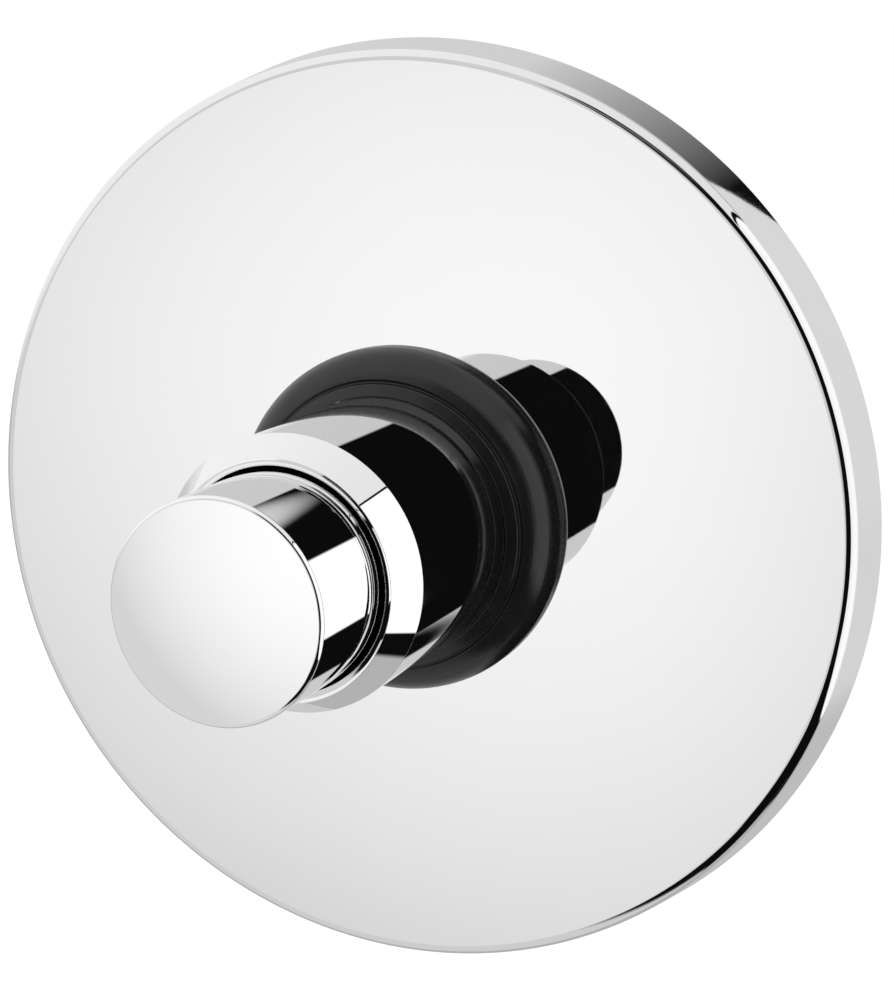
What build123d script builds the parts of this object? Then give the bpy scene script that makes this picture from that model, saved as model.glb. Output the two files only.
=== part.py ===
from build123d import *
import math
import os

# Concealed toilet flush valve, in millimetres.
# The button's axis is Y: the button points to -Y, the finished wall is the plane Y = 0,
# and the valve itself lies behind the wall at +Y. +Z is up: water comes in at the top and leaves below.

# Clearances
running_gap = 0.05
thread_gap = 0.05
stop_gap = 0.1
guide_gap = 0.06

# Wall plate and its rubber ring
plate_radius = 90.0
plate_draft = 2.0
plate_depth = 12.7
plate_edge_round = 2.25
plate_sheet = 1.2
ring_base_width = 8.25
ring_edge_height = 1.2
ring_bulge = 1.3
ring_step_width = 3.15
ring_step_height = 7.7
ring_groove = 0.9
ring_lip_width = 0.75
ring_height = 9.0
ring_grip_length = 4.0
ring_relief = 1.3
ring_hole_wall = 2.25
ring_flange = 2.5
ring_flange_width = 2.5

# Sleeve, guide bush and button
sleeve_wall = 1.6
sleeve_reach = 66.0
bevel_length = 6.0
mouth_gap = 0.3
mouth_rim = 1.7
mouth_round = 1.4
lip_length = 8.0
lip_edge = 0.3
bush_wall = 3.64
bush_length = 14.0
button_radius = 19.6
button_wall = 1.6
button_standout = 23.0
button_dome = 0.5
button_edge_round = 0.8
button_travel = 6.0

# Button carrier, push rod and return spring
carrier_flange = 2.5
carrier_gap = 0.7
carrier_rim = 2.5
carrier_depth = 14.0
carrier_hub_radius = 6.5
carrier_hub_length = 28.6
rod_radius = 4.0
rod_stud_radius = 3.0
rod_nut_wall = 2.0
rod_nut_height = 4.0
rod_stud_end = 1.0
rod_nose_radius = 2.2
rod_nose_length = 14.0
rod_nose_round = 0.8
button_spring_radius = 12.5
button_spring_wire = 0.7
button_spring_turns = 8

# Bonnet, rod gland and their seals
bonnet_recess = 2.0
bonnet_flange = 6.0
bonnet_shoulder = 1.6
bonnet_notch_width = 6.0
bonnet_notch_depth = 2.5
bonnet_neck_length = 10.0
bonnet_neck_wall = 2.75
bonnet_floor = 3.0
bonnet_thread_step = 1.0
bonnet_thread_length = 7.0
bonnet_nose_length = 5.0
gland_wall = 1.55
gland_thread_length = 6.0
gland_hex_step = 1.0
gland_hex_height = 4.0
seal_width = 2.6
seal_depth = 2.4
seal_corner = 0.8
seal_shoulder = 1.2

# Cartridge: cage with the main seat, and the chamber cup
cartridge_radius = 21.0
cage_wall = 3.0
cage_rim = 2.0
outlet_window_length = 20.0
outlet_window_width = 13.0
window_count = 6
seat_web = 4.0
seat_radius = 11.0
seat_land = 1.5
seat_lip = 1.5
cup_step = 1.0
cup_skirt_wall = 2.55
cup_rim = 2.5
inlet_window_length = 9.5
inlet_window_width = 12.0
cup_floor = 3.0
outlet_groove = 3.0
inlet_groove = 3.0

# Piston with its washer, clamp, lip seal and closing spring
piston_travel = 5.5
cylinder_wall = 3.5
piston_head_gap = 0.1
chamber_gap = 0.5
cylinder_lead = 0.3
washer_margin = 2.0
washer_thickness = 3.0
spigot_wall = 2.0
piston_disc = 2.5
piston_waist_wall = 2.5
piston_waist_length = 6.3
piston_head = 7.7
clamp_flange = 3.0
clamp_seat_gap = 0.6
clamp_thread_radius = 7.0
clamp_bore_radius = 3.4
clamp_thread_length = 5.5
clamp_slot = 1.4
lip_seal_width = 3.5
lip_seal_depth = 2.4
lip_seal_land = 1.0
lip_seal_base = 1.4
lip_seal_lip = 0.55
lip_seal_spread = 0.35
lip_seal_foot = 0.5
piston_head_wall = 2.0
spring_recess_depth = 5.0
closing_spring_gap = 1.5
closing_spring_wire = 0.5
closing_spring_turns = 4
bleed_radius = 1.1
bleed_hole_radius = 0.3
bleed_margin = 0.1

# Relief valve in the middle of the piston
pilot_travel = 3.2
pilot_cavity_radius = 4.6
pilot_hub_wall = 1.6
pilot_shelf = 1.0
pilot_seat_thickness = 3.0
pilot_seat_lip = 0.4
pilot_hole_radius = 2.2
pilot_land = 0.8
pilot_stem_radius = 1.5
pilot_front_inset = 1.5
pilot_head_radius = 3.6
pilot_head = 1.3
pilot_tail_radius = 1.2
pilot_tail = 1.0
pilot_washer = 1.5
pilot_cap_thickness = 2.0
pilot_cap_hole_radius = 1.7
pilot_spring_radius = 2.6
pilot_spring_wire = 0.2
pilot_spring_turns = 3

# Valve body, ports and fixing lugs
body_wall = 3.0
body_rear_wall = 4.0
body_tail_wall = 4.5
body_tail_length = 18.0
body_edge_round = 2.0
outlet_ledge = 2.0
inlet_bore_radius = 9.0
inlet_thread_radius = 12.06
inlet_thread_length = 12.0
inlet_hex_across = 32.0
inlet_hex_length = 10.0
inlet_neck_wall = 2.94
inlet_step = 5.0
inlet_web_margin = 2.0
passage_radius = 5.5
lug_spacing = 76.0
lug_thickness = 6.0
lug_width = 16.0
lug_hole_radius = 2.75

# Stop valve beside the main valve
stop_spacing = 2.0
stop_bore_radius = 11.0
stop_back_step = 1.0
stop_wall = 3.5
stop_back_margin = 1.0
stop_head_margin = 0.7
stop_head = 2.5
stop_notch_width = 3.0
stop_notch_depth = 2.5
stop_thread_length = 10.0
stop_nose_length = 2.0
stop_nose_step = 1.0
stop_seal_depth = 1.8
stop_web = 3.0
stop_seat_margin = 0.5
stop_seat_lip = 1.5
stop_travel = 5.0
stop_washer_gap = 1.4
stop_washer_thickness = 3.0
stop_plug_disc = 4.0
stop_hub_radius = 5.5
stop_hub_length = 5.4
stop_socket_depth = 4.5
stop_screw_radius = 1.6
stop_screw_head_radius = 3.2
stop_screw_head = 2.0
stop_screw_length = 3.5
spindle_nose_radius = 3.5
spindle_thread_radius = 6.0
spindle_stem_radius = 5.0
spindle_stem_length = 8.0
spindle_standout = 1.5
spindle_slot_width = 1.4
spindle_slot_depth = 2.0

# Pipe interrupter and flush pipe coupling in the outlet
outlet_wall = 2.5
outlet_throat = 3.0
breaker_step = 1.1
breaker_length = 24.0
breaker_flange = 2.0
breaker_airway = 3.4
breaker_wall = 1.4
breaker_tube_length = 18.0
breaker_cap = 1.5
breaker_slot_count = 8
breaker_slot_width = 3.0
breaker_slot_length = 12.0
membrane_thickness = 0.7
membrane_flange = 1.0
membrane_length = 17.0
air_hole_count = 6
air_hole_radius = 1.2
air_hole_inset = 7.0
pipe_socket_radius = 14.1
pipe_socket_length = 12.0
nut_wall = 3.9
nut_thread_length = 10.0
nut_lip = 2.0
nut_pipe_gap = 0.3
pipe_seal_thickness = 3.0
pipe_seal_chamfer = 1.0

# Places along the button's axis, from the front to the back
plate_front = -plate_depth
ring_front = plate_front - ring_height
ring_step = plate_front - ring_step_height
sleeve_front = -sleeve_reach
bush_front = sleeve_front + lip_length
bush_rear = bush_front + bush_length
flange_front = bush_rear + stop_gap
flange_rear = flange_front + carrier_flange
button_face = sleeve_front - button_standout
hub_front = flange_rear - carrier_hub_length
neck_front = bonnet_recess - bonnet_neck_length
body_front = bonnet_recess + bonnet_flange
bonnet_floor_front = bonnet_recess - bonnet_floor
gland_rear = bonnet_floor_front + gland_thread_length
rod_seals_rear = gland_rear + 2 * seal_width + stop_gap
bonnet_thread_rear = body_front + bonnet_thread_length
cage_front = bonnet_thread_rear + bonnet_nose_length
outlet_window_front = cage_front + cage_rim
outlet_window_rear = outlet_window_front + outlet_window_length
port_place = (outlet_window_front + outlet_window_rear) / 2
seat_web_front = outlet_window_rear + cage_rim
cage_rear = seat_web_front + seat_web
seat_face = cage_rear + seat_lip
inlet_window_front = cage_rear + cup_rim
inlet_window_rear = inlet_window_front + inlet_window_length
passage_place = (inlet_window_front + inlet_window_rear) / 2
disc_front = seat_face + washer_thickness
disc_rear = disc_front + piston_disc
head_front = disc_rear + piston_waist_length
piston_rear = head_front + piston_head
chamber_rear = piston_rear + piston_travel + chamber_gap
cup_rear = chamber_rear + cup_floor
body_rear = cup_rear + body_rear_wall

# Radii in front of the wall, from the button outwards
button_bore_radius = button_radius - button_wall
sleeve_mouth_radius = button_radius + mouth_gap
sleeve_bore_radius = button_radius + guide_gap + bush_wall
carrier_flange_radius = sleeve_bore_radius - carrier_gap
sleeve_radius = sleeve_bore_radius + sleeve_wall
bonnet_flange_radius = sleeve_radius + bonnet_shoulder
grip_radius = sleeve_radius + running_gap
relief_radius = grip_radius + ring_relief
ring_lip_radius = grip_radius + ring_lip_width
ring_step_radius = grip_radius + ring_step_width
ring_base_radius = grip_radius + ring_base_width
plate_hole_radius = relief_radius + ring_hole_wall
ring_flange_radius = plate_hole_radius + ring_flange_width

# Radii round the rod, and of the cartridge and its piston
seal_outer_radius = rod_radius + running_gap + seal_depth
gland_radius = seal_outer_radius + gland_wall
bonnet_thread_radius = cartridge_radius + bonnet_thread_step
barrel_radius = cartridge_radius + outlet_groove + body_wall
cup_radius = cartridge_radius - cup_step
body_tail_radius = cup_radius + body_tail_wall
piston_bore_radius = cup_radius - cylinder_wall
head_radius = piston_bore_radius - piston_head_gap
spring_recess_radius = head_radius - lip_seal_depth - piston_head_wall
bleed_place_radius = spring_recess_radius - bleed_margin - bleed_radius
washer_radius = seat_radius + seat_land + washer_margin
washer_bore_radius = clamp_thread_radius + spigot_wall
piston_waist_radius = clamp_thread_radius + piston_waist_wall
clamp_radius = seat_radius - clamp_seat_gap
pilot_hub_radius = pilot_cavity_radius + pilot_hub_wall
closing_spring_radius = pilot_hub_radius + closing_spring_gap + closing_spring_wire

# Radii of the stop valve and of the ports
stop_recess_radius = stop_bore_radius + stop_seal_depth
stop_head_radius = stop_recess_radius + stop_head_margin
stop_back_radius = stop_bore_radius - stop_back_step
stop_washer_radius = stop_bore_radius - stop_washer_gap
stop_seat_radius = stop_bore_radius - stop_seat_margin - 2 * stop_seat_lip
inlet_neck_radius = inlet_thread_radius + inlet_neck_wall
outlet_radius = pipe_socket_radius + outlet_wall
breaker_bore_radius = pipe_socket_radius - breaker_step
outlet_bore_radius = breaker_bore_radius - outlet_ledge
breaker_radius = breaker_bore_radius - breaker_airway
nut_lip_radius = pipe_socket_radius + nut_pipe_gap

# Places of the relief valve and the rod's end
clamp_front = seat_face - clamp_flange
pilot_floor = seat_face + clamp_thread_length + pilot_shelf
pilot_seat_face = pilot_floor + pilot_seat_thickness + pilot_seat_lip
pilot_head_front = pilot_seat_face + pilot_washer
pilot_head_rear = pilot_head_front + pilot_head
pilot_front = clamp_front + pilot_front_inset
pilot_cap_front = piston_rear - pilot_cap_thickness
rod_tip = pilot_front - (button_travel - pilot_travel) - stop_gap
recess_floor = piston_rear - spring_recess_depth

# Places of the stop valve, along its own axis at stop_height above the button's axis
stop_height = bonnet_flange_radius + stop_head_radius + stop_spacing
stop_head_front = body_front - stop_head
stop_thread_rear = body_front + stop_thread_length
stop_gland_rear = stop_thread_rear + stop_nose_length
stop_web_front = port_place + inlet_bore_radius + inlet_web_margin
stop_web_rear = stop_web_front + stop_web
stop_seat_face = stop_web_front - stop_seat_lip
stop_washer_rear = stop_seat_face - stop_gap - stop_travel
stop_washer_front = stop_washer_rear - stop_washer_thickness
stop_disc_front = stop_washer_front - stop_plug_disc
stop_hub_front = stop_disc_front - stop_hub_length
stop_socket_floor = stop_hub_front + stop_socket_depth
stop_chamber_rear = passage_place + passage_radius + stop_back_margin
spindle_front = stop_head_front - spindle_standout
spindle_shoulder = spindle_front + spindle_stem_length
spindle_seal_rear = body_front + seal_width

# Heights of the ports, up from the button's axis
inlet_neck_top = stop_height + stop_bore_radius + inlet_step
inlet_top = inlet_neck_top + inlet_thread_length
breaker_top = -barrel_radius - outlet_throat
breaker_bottom = breaker_top - breaker_length
outlet_end = breaker_bottom - pipe_socket_length
nut_seat = outlet_end - pipe_seal_thickness
nut_end = nut_seat - nut_lip

port_plane = Plane(origin=(0, port_place, 0), x_dir=(1, 0, 0), z_dir=(0, -1, 0))
port_axis = Axis((0, port_place, 0), (0, 0, 1))
stop_plane = Plane.XY.offset(stop_height)
stop_axis = Axis((0, 0, stop_height), (0, 1, 0))


def facing_back(place, height=0.0):
    """Plane square to the button's axis: its local y points up, and it is extruded towards the back."""
    return Plane(origin=(0, place, height), x_dir=(-1, 0, 0), z_dir=(0, 1, 0))


def level(height, place):
    """Horizontal plane on a port's axis, extruded upwards."""
    return Plane(origin=(0, place, height), x_dir=(1, 0, 0), z_dir=(0, 0, 1))


def ring_section(inner, outer, start, end, corner):
    """Section of a round ring with rounded corners, as (radius, place along the axis)."""
    with BuildSketch() as section:
        with BuildLine():
            Polyline((inner, start), (outer, start), (outer, end), (inner, end), close=True)
        make_face()
        fillet(section.vertices(), corner)
    return section.sketch


def ring_of(count, radius):
    """Places evenly round a circle."""
    return PolarLocations(radius=radius, count=count)


def coil_path(radius, start, end, turns):
    """Line of a spring about the button's axis: one biarc for each half turn."""
    rise = (end - start) / turns

    def point(angle):
        return Vector(
            radius * math.cos(angle),
            start + rise * angle / (2 * math.pi),
            -radius * math.sin(angle),
        )

    def heading(angle):
        run = Vector(-radius * math.sin(angle), rise / (2 * math.pi), -radius * math.cos(angle))
        return run.normalized()

    with BuildLine() as path:
        for half_turn in range(2 * turns):
            first = point(half_turn * math.pi)
            last = point((half_turn + 1) * math.pi)
            leaving = heading(half_turn * math.pi)
            arriving = heading((half_turn + 1) * math.pi)
            chord = last - first
            both = leaving + arriving
            spread = 2 * (1 - leaving.dot(arriving))
            along = chord.dot(both)
            reach = (math.sqrt(along**2 + spread * chord.dot(chord)) - along) / spread
            corner_one = first + leaving * reach
            corner_two = last - arriving * reach
            middle = (corner_one + corner_two) * 0.5
            TangentArc(first, middle, tangent=leaving)
            TangentArc(middle, last, tangent=corner_two - corner_one)
    return path.line


def wire_start(path, wire):
    """Round section of a spring's wire at the start of its line."""
    with BuildSketch(Plane(origin=path @ 0, z_dir=path % 0)) as section:
        Circle(wire)
    return section.sketch


# Wall plate: a shallow spun dish with an open back
with BuildPart() as wall_plate:
    with BuildSketch() as plate_profile:
        with BuildLine():
            Polyline(
                (plate_radius, 0),
                (plate_radius - plate_draft, plate_front),
                (plate_hole_radius, plate_front),
                (plate_hole_radius, plate_front + plate_sheet),
                (plate_radius - plate_draft - plate_sheet, plate_front + plate_sheet),
                (plate_radius - plate_sheet, 0),
                close=True,
            )
        make_face()
        front_corner = Vector(plate_radius - plate_draft, plate_front)
        back_corner = Vector(plate_radius - plate_draft - plate_sheet, plate_front + plate_sheet)
        fillet(plate_profile.vertices().sort_by_distance(front_corner)[0], plate_edge_round)
        fillet(
            plate_profile.vertices().sort_by_distance(back_corner)[0],
            plate_edge_round - plate_sheet,
        )
    revolve(axis=Axis.Y)

# Rubber ring: grips the sleeve and clips into the plate's hole
with BuildPart() as plate_ring:
    with BuildSketch():
        with BuildLine():
            rim = plate_front - ring_edge_height
            bulge = Vector(ring_step_height - ring_edge_height, ring_base_radius - ring_step_radius)
            bulge_middle = (
                (ring_base_radius + ring_step_radius) / 2 + ring_bulge * bulge.X / bulge.length,
                (rim + ring_step) / 2 - ring_bulge * bulge.Y / bulge.length,
            )
            Line((ring_base_radius, plate_front), (ring_base_radius, rim))
            ThreePointArc((ring_base_radius, rim), bulge_middle, (ring_step_radius, ring_step))
            Polyline(
                (ring_step_radius, ring_step),
                (ring_step_radius - ring_groove, ring_step + ring_groove / 2),
                (ring_step_radius - ring_groove, ring_step - ring_groove / 2),
                (ring_lip_radius, ring_front),
                (grip_radius, ring_front),
                (grip_radius, ring_front + ring_grip_length),
                (relief_radius, ring_front + ring_grip_length + ring_relief),
                (relief_radius, plate_front + plate_sheet + ring_flange),
                (ring_flange_radius, plate_front + plate_sheet + ring_flange),
                (ring_flange_radius, plate_front + plate_sheet),
                (plate_hole_radius, plate_front + plate_sheet),
                (plate_hole_radius, plate_front),
                (ring_base_radius, plate_front),
            )
        make_face()
    revolve(axis=Axis.Y)

# Sleeve: plated tube with a bevelled mouth, screwed on the bonnet's neck
with BuildPart() as sleeve:
    with BuildSketch() as sleeve_profile:
        with BuildLine():
            Polyline(
                (sleeve_mouth_radius, sleeve_front),
                (sleeve_mouth_radius + mouth_rim, sleeve_front),
                (sleeve_radius, sleeve_front + bevel_length),
                (sleeve_radius, bonnet_recess),
                (sleeve_bore_radius, bonnet_recess),
                (sleeve_bore_radius, bush_front),
                (sleeve_mouth_radius, bush_front),
                close=True,
            )
        make_face()
        mouth_corner = (sleeve_mouth_radius, sleeve_front)
        fillet(sleeve_profile.vertices().sort_by_distance(mouth_corner)[0], mouth_round)
    revolve(axis=Axis.Y)

# Plastic bush pressed into the sleeve: the button slides in it
with BuildPart() as guide_bush:
    with BuildSketch(facing_back(bush_front)):
        Circle(sleeve_bore_radius)
        Circle(button_radius + guide_gap, mode=Mode.SUBTRACT)
    extrude(amount=bush_length)
    chamfer(guide_bush.edges().group_by(Axis.Y)[0].sort_by(SortBy.LENGTH)[0], lip_edge)

# Button: a deep plated cap with a slightly domed face
with BuildPart() as push_button:
    with BuildSketch() as button_profile:
        with BuildLine():
            face_edge = button_face + button_dome
            rise = (button_radius**2 + button_dome**2) / (2 * button_dome)
            dome_middle = button_radius / 2
            dome_place = button_face + rise - math.sqrt(rise**2 - dome_middle**2)
            ThreePointArc((0, button_face), (dome_middle, dome_place), (button_radius, face_edge))
            Polyline(
                (button_radius, face_edge),
                (button_radius, flange_front),
                (button_bore_radius, flange_front),
                (button_bore_radius, face_edge + button_wall),
                (0, face_edge + button_wall),
                (0, button_face),
            )
        make_face()
        edge_corner = Vector(button_radius, face_edge)
        fillet(button_profile.vertices().sort_by_distance(edge_corner)[0], button_edge_round)
    revolve(axis=Axis.Y)

# Carrier: plastic plug in the button, with the flange that stops it behind the bush
with BuildPart() as button_carrier:
    with BuildSketch():
        with BuildLine():
            Polyline(
                (rod_stud_radius + thread_gap, flange_rear),
                (carrier_flange_radius, flange_rear),
                (carrier_flange_radius, flange_front),
                (button_bore_radius, flange_front),
                (button_bore_radius, flange_front - carrier_depth),
                (button_bore_radius - carrier_rim, flange_front - carrier_depth),
                (button_bore_radius - carrier_rim, flange_front),
                (carrier_hub_radius, flange_front),
                (carrier_hub_radius, hub_front),
                (rod_stud_radius + thread_gap, hub_front),
                close=True,
            )
        make_face()
    revolve(axis=Axis.Y)

# Push rod: threaded stud in front, thin nose at the back
with BuildPart() as push_rod:
    with BuildSketch() as rod_profile:
        with BuildLine():
            Polyline(
                (0, hub_front - rod_nut_height - rod_stud_end),
                (rod_stud_radius, hub_front - rod_nut_height - rod_stud_end),
                (rod_stud_radius, flange_rear),
                (rod_radius, flange_rear),
                (rod_radius, rod_tip - rod_nose_length),
                (rod_nose_radius, rod_tip - rod_nose_length),
                (rod_nose_radius, rod_tip),
                (0, rod_tip),
                close=True,
            )
        make_face()
        nose_corner = Vector(rod_nose_radius, rod_tip)
        fillet(rod_profile.vertices().sort_by_distance(nose_corner)[0], rod_nose_round)
    revolve(axis=Axis.Y)

# Nut that clamps the carrier against the rod's shoulder
with BuildPart() as rod_nut:
    with BuildSketch(facing_back(hub_front - rod_nut_height)):
        RegularPolygon(rod_stud_radius + rod_nut_wall, 6, major_radius=False)
        Circle(rod_stud_radius + thread_gap, mode=Mode.SUBTRACT)
    extrude(amount=rod_nut_height)

# Return spring of the button, between the bonnet's floor and the carrier
with BuildPart() as button_spring:
    spring_line = coil_path(
        button_spring_radius,
        flange_rear + button_spring_wire + stop_gap,
        bonnet_floor_front - button_spring_wire - stop_gap,
        button_spring_turns,
    )
    sweep(wire_start(spring_line, button_spring_wire), path=spring_line)

# Bonnet: brass head that closes the body and carries the sleeve
with BuildPart() as bonnet:
    with BuildSketch():
        with BuildLine():
            plug_radius = bonnet_thread_radius - thread_gap
            nose_radius = cartridge_radius - running_gap
            groove_front = cage_front - seal_shoulder - seal_width
            groove_rear = cage_front - seal_shoulder
            neck_radius = sleeve_bore_radius - thread_gap
            Polyline(
                (rod_radius + running_gap, cage_front),
                (nose_radius, cage_front),
                (nose_radius, groove_rear),
                (cartridge_radius - seal_depth, groove_rear),
                (cartridge_radius - seal_depth, groove_front),
                (nose_radius, groove_front),
                (nose_radius, bonnet_thread_rear),
                (plug_radius, bonnet_thread_rear),
                (plug_radius, body_front),
                (bonnet_flange_radius, body_front),
                (bonnet_flange_radius, bonnet_recess),
                (neck_radius, bonnet_recess),
                (neck_radius, neck_front),
                (neck_radius - bonnet_neck_wall, neck_front),
                (neck_radius - bonnet_neck_wall, bonnet_floor_front),
                (gland_radius, bonnet_floor_front),
                (gland_radius, gland_rear),
                (seal_outer_radius, gland_rear),
                (seal_outer_radius, rod_seals_rear),
                (rod_radius + running_gap, rod_seals_rear),
                close=True,
            )
        make_face()
    revolve(axis=Axis.Y)
    with BuildSketch(facing_back(bonnet_recess)):
        with ring_of(4, bonnet_flange_radius):
            Rectangle(2 * bonnet_notch_depth, bonnet_notch_width)
        Circle(sleeve_radius + running_gap, mode=Mode.SUBTRACT)
    extrude(amount=bonnet_flange, mode=Mode.SUBTRACT)

with BuildPart() as bonnet_o_ring:
    revolve(
        ring_section(
            cartridge_radius - seal_depth,
            cartridge_radius,
            cage_front - seal_shoulder - seal_width,
            cage_front - seal_shoulder,
            seal_corner,
        ),
        axis=Axis.Y,
    )

# Gland nut that holds the rod's two seals
with BuildPart() as rod_gland:
    with BuildSketch(facing_back(bonnet_floor_front)):
        Circle(gland_radius - thread_gap)
    extrude(amount=gland_thread_length)
    with BuildSketch(facing_back(bonnet_floor_front - gland_hex_height)):
        RegularPolygon(gland_radius + gland_hex_step, 6, major_radius=False)
    extrude(amount=gland_hex_height)
    with BuildSketch(facing_back(bonnet_floor_front - gland_hex_height)):
        Circle(rod_radius + 2 * running_gap)
    extrude(amount=gland_hex_height + gland_thread_length, mode=Mode.SUBTRACT)

with BuildPart() as rod_o_rings:
    for seal_place in (gland_rear, rod_seals_rear - seal_width):
        revolve(
            ring_section(
                rod_radius + running_gap,
                seal_outer_radius,
                seal_place,
                seal_place + seal_width,
                seal_corner,
            ),
            axis=Axis.Y,
        )

# Cartridge cage: windows to the outlet in front, main seat at the back
with BuildPart() as cartridge_cage:
    with BuildSketch():
        with BuildLine():
            cage_radius = cartridge_radius - running_gap
            cage_groove_front = seat_web_front + seal_shoulder / 2
            Polyline(
                (cage_radius, cage_front),
                (cage_radius, cage_groove_front),
                (cartridge_radius - seal_depth, cage_groove_front),
                (cartridge_radius - seal_depth, cage_groove_front + seal_width),
                (cage_radius, cage_groove_front + seal_width),
                (cage_radius, cage_rear),
                (seat_radius + 2 * seat_land, cage_rear),
                (seat_radius + seat_land, seat_face),
                (seat_radius, seat_face),
                (seat_radius, seat_web_front),
                (cage_radius - cage_wall, seat_web_front),
                (cage_radius - cage_wall, cage_front),
                close=True,
            )
        make_face()
    revolve(axis=Axis.Y)
    with BuildSketch(facing_back(outlet_window_front)):
        with ring_of(window_count, cage_radius):
            Rectangle(4 * cage_wall, outlet_window_width)
    extrude(amount=outlet_window_length, mode=Mode.SUBTRACT)

with BuildPart() as cage_o_ring:
    revolve(
        ring_section(
            cartridge_radius - seal_depth,
            cartridge_radius,
            seat_web_front + seal_shoulder / 2,
            seat_web_front + seal_shoulder / 2 + seal_width,
            seal_corner,
        ),
        axis=Axis.Y,
    )

# Chamber cup: inlet windows round the seat, and the cylinder for the piston behind them
with BuildPart() as chamber_cup:
    with BuildSketch():
        with BuildLine():
            cup_outer = cup_radius - running_gap
            cylinder_front = head_front - cylinder_lead
            Polyline(
                (cup_outer, cage_rear),
                (cup_outer, cup_rear),
                (0, cup_rear),
                (0, chamber_rear),
                (piston_bore_radius, chamber_rear),
                (piston_bore_radius, cylinder_front),
                (cup_outer - cup_skirt_wall, cylinder_front),
                (cup_outer - cup_skirt_wall, cage_rear),
                close=True,
            )
        make_face()
    revolve(axis=Axis.Y)
    with BuildSketch(facing_back(inlet_window_front)):
        with ring_of(window_count, cup_outer):
            Rectangle(4 * cup_skirt_wall, inlet_window_width)
    extrude(amount=inlet_window_length, mode=Mode.SUBTRACT)

# Piston: seat disc, waist and a head that slides in the cup
with BuildPart() as piston:
    with BuildSketch():
        with BuildLine():
            seal_groove_rear = piston_rear - lip_seal_land
            seal_groove_front = seal_groove_rear - lip_seal_width
            Polyline(
                (clamp_thread_radius, seat_face),
                (washer_bore_radius, seat_face),
                (washer_bore_radius, disc_front),
                (washer_radius, disc_front),
                (washer_radius, disc_rear),
                (piston_waist_radius, disc_rear),
                (piston_waist_radius, head_front),
                (head_radius, head_front),
                (head_radius, seal_groove_front),
                (head_radius - lip_seal_depth, seal_groove_front),
                (head_radius - lip_seal_depth, seal_groove_rear),
                (head_radius, seal_groove_rear),
                (head_radius, piston_rear),
                (spring_recess_radius, piston_rear),
                (spring_recess_radius, recess_floor),
                (pilot_hub_radius, recess_floor),
                (pilot_hub_radius, piston_rear),
                (pilot_cavity_radius, piston_rear),
                (pilot_cavity_radius, pilot_floor),
                (clamp_bore_radius, pilot_floor),
                (clamp_bore_radius, seat_face + clamp_thread_length),
                (clamp_thread_radius, seat_face + clamp_thread_length),
                close=True,
            )
        make_face()
    revolve(axis=Axis.Y)
    with BuildSketch(facing_back(head_front)):
        with Locations((0, bleed_place_radius)):
            Circle(bleed_radius)
    extrude(amount=recess_floor - head_front, mode=Mode.SUBTRACT)

with BuildPart() as seat_washer:
    revolve(
        ring_section(washer_bore_radius, washer_radius, seat_face, disc_front, lip_edge),
        axis=Axis.Y,
    )

# Clamp screw that holds the washer: hollow, so that relieved water passes through it
with BuildPart() as washer_clamp:
    with BuildSketch():
        with BuildLine():
            Polyline(
                (clamp_bore_radius, clamp_front),
                (clamp_radius, clamp_front),
                (clamp_radius, seat_face),
                (clamp_thread_radius - thread_gap, seat_face),
                (clamp_thread_radius - thread_gap, seat_face + clamp_thread_length),
                (clamp_bore_radius, seat_face + clamp_thread_length),
                close=True,
            )
        make_face()
    revolve(axis=Axis.Y)
    with BuildSketch(facing_back(clamp_front)):
        Rectangle(2 * clamp_radius, clamp_slot)
    extrude(amount=clamp_slot, mode=Mode.SUBTRACT)

# Cup seal in the piston's groove, with one lip on the cylinder
with BuildPart() as piston_lip_seal:
    with BuildSketch():
        with BuildLine():
            groove_radius = head_radius - lip_seal_depth
            lip_radius = piston_bore_radius - running_gap
            lip_root = seal_groove_front + lip_seal_base
            Polyline(
                (groove_radius, seal_groove_front),
                (lip_radius - lip_seal_spread, seal_groove_front),
                (lip_radius, seal_groove_rear),
                (lip_radius - lip_seal_lip, seal_groove_rear),
                (lip_radius - 2 * lip_seal_lip, lip_root),
                (groove_radius + lip_seal_foot, lip_root),
                (groove_radius + lip_seal_foot, seal_groove_rear),
                (groove_radius, seal_groove_rear),
                close=True,
            )
        make_face()
    revolve(axis=Axis.Y)

# Bleed nozzle: the fine hole that refills the chamber behind the piston
with BuildPart() as bleed_nozzle:
    with BuildSketch(facing_back(head_front)):
        with Locations((0, bleed_place_radius)):
            Circle(bleed_radius)
            Circle(bleed_hole_radius, mode=Mode.SUBTRACT)
    extrude(amount=recess_floor - head_front)

# Closing spring of the piston
with BuildPart() as closing_spring:
    spring_line = coil_path(
        closing_spring_radius,
        recess_floor + closing_spring_wire + stop_gap,
        chamber_rear - closing_spring_wire - stop_gap,
        closing_spring_turns,
    )
    sweep(wire_start(spring_line, closing_spring_wire), path=spring_line)

# Relief seat pressed into the piston's middle
with BuildPart() as pilot_seat:
    with BuildSketch():
        with BuildLine():
            Polyline(
                (pilot_hole_radius, pilot_floor),
                (pilot_cavity_radius, pilot_floor),
                (pilot_cavity_radius, pilot_seat_face - pilot_seat_lip),
                (pilot_hole_radius + pilot_land, pilot_seat_face - pilot_seat_lip),
                (pilot_hole_radius + pilot_land, pilot_seat_face),
                (pilot_hole_radius, pilot_seat_face),
                close=True,
            )
        make_face()
    revolve(axis=Axis.Y)

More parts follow.
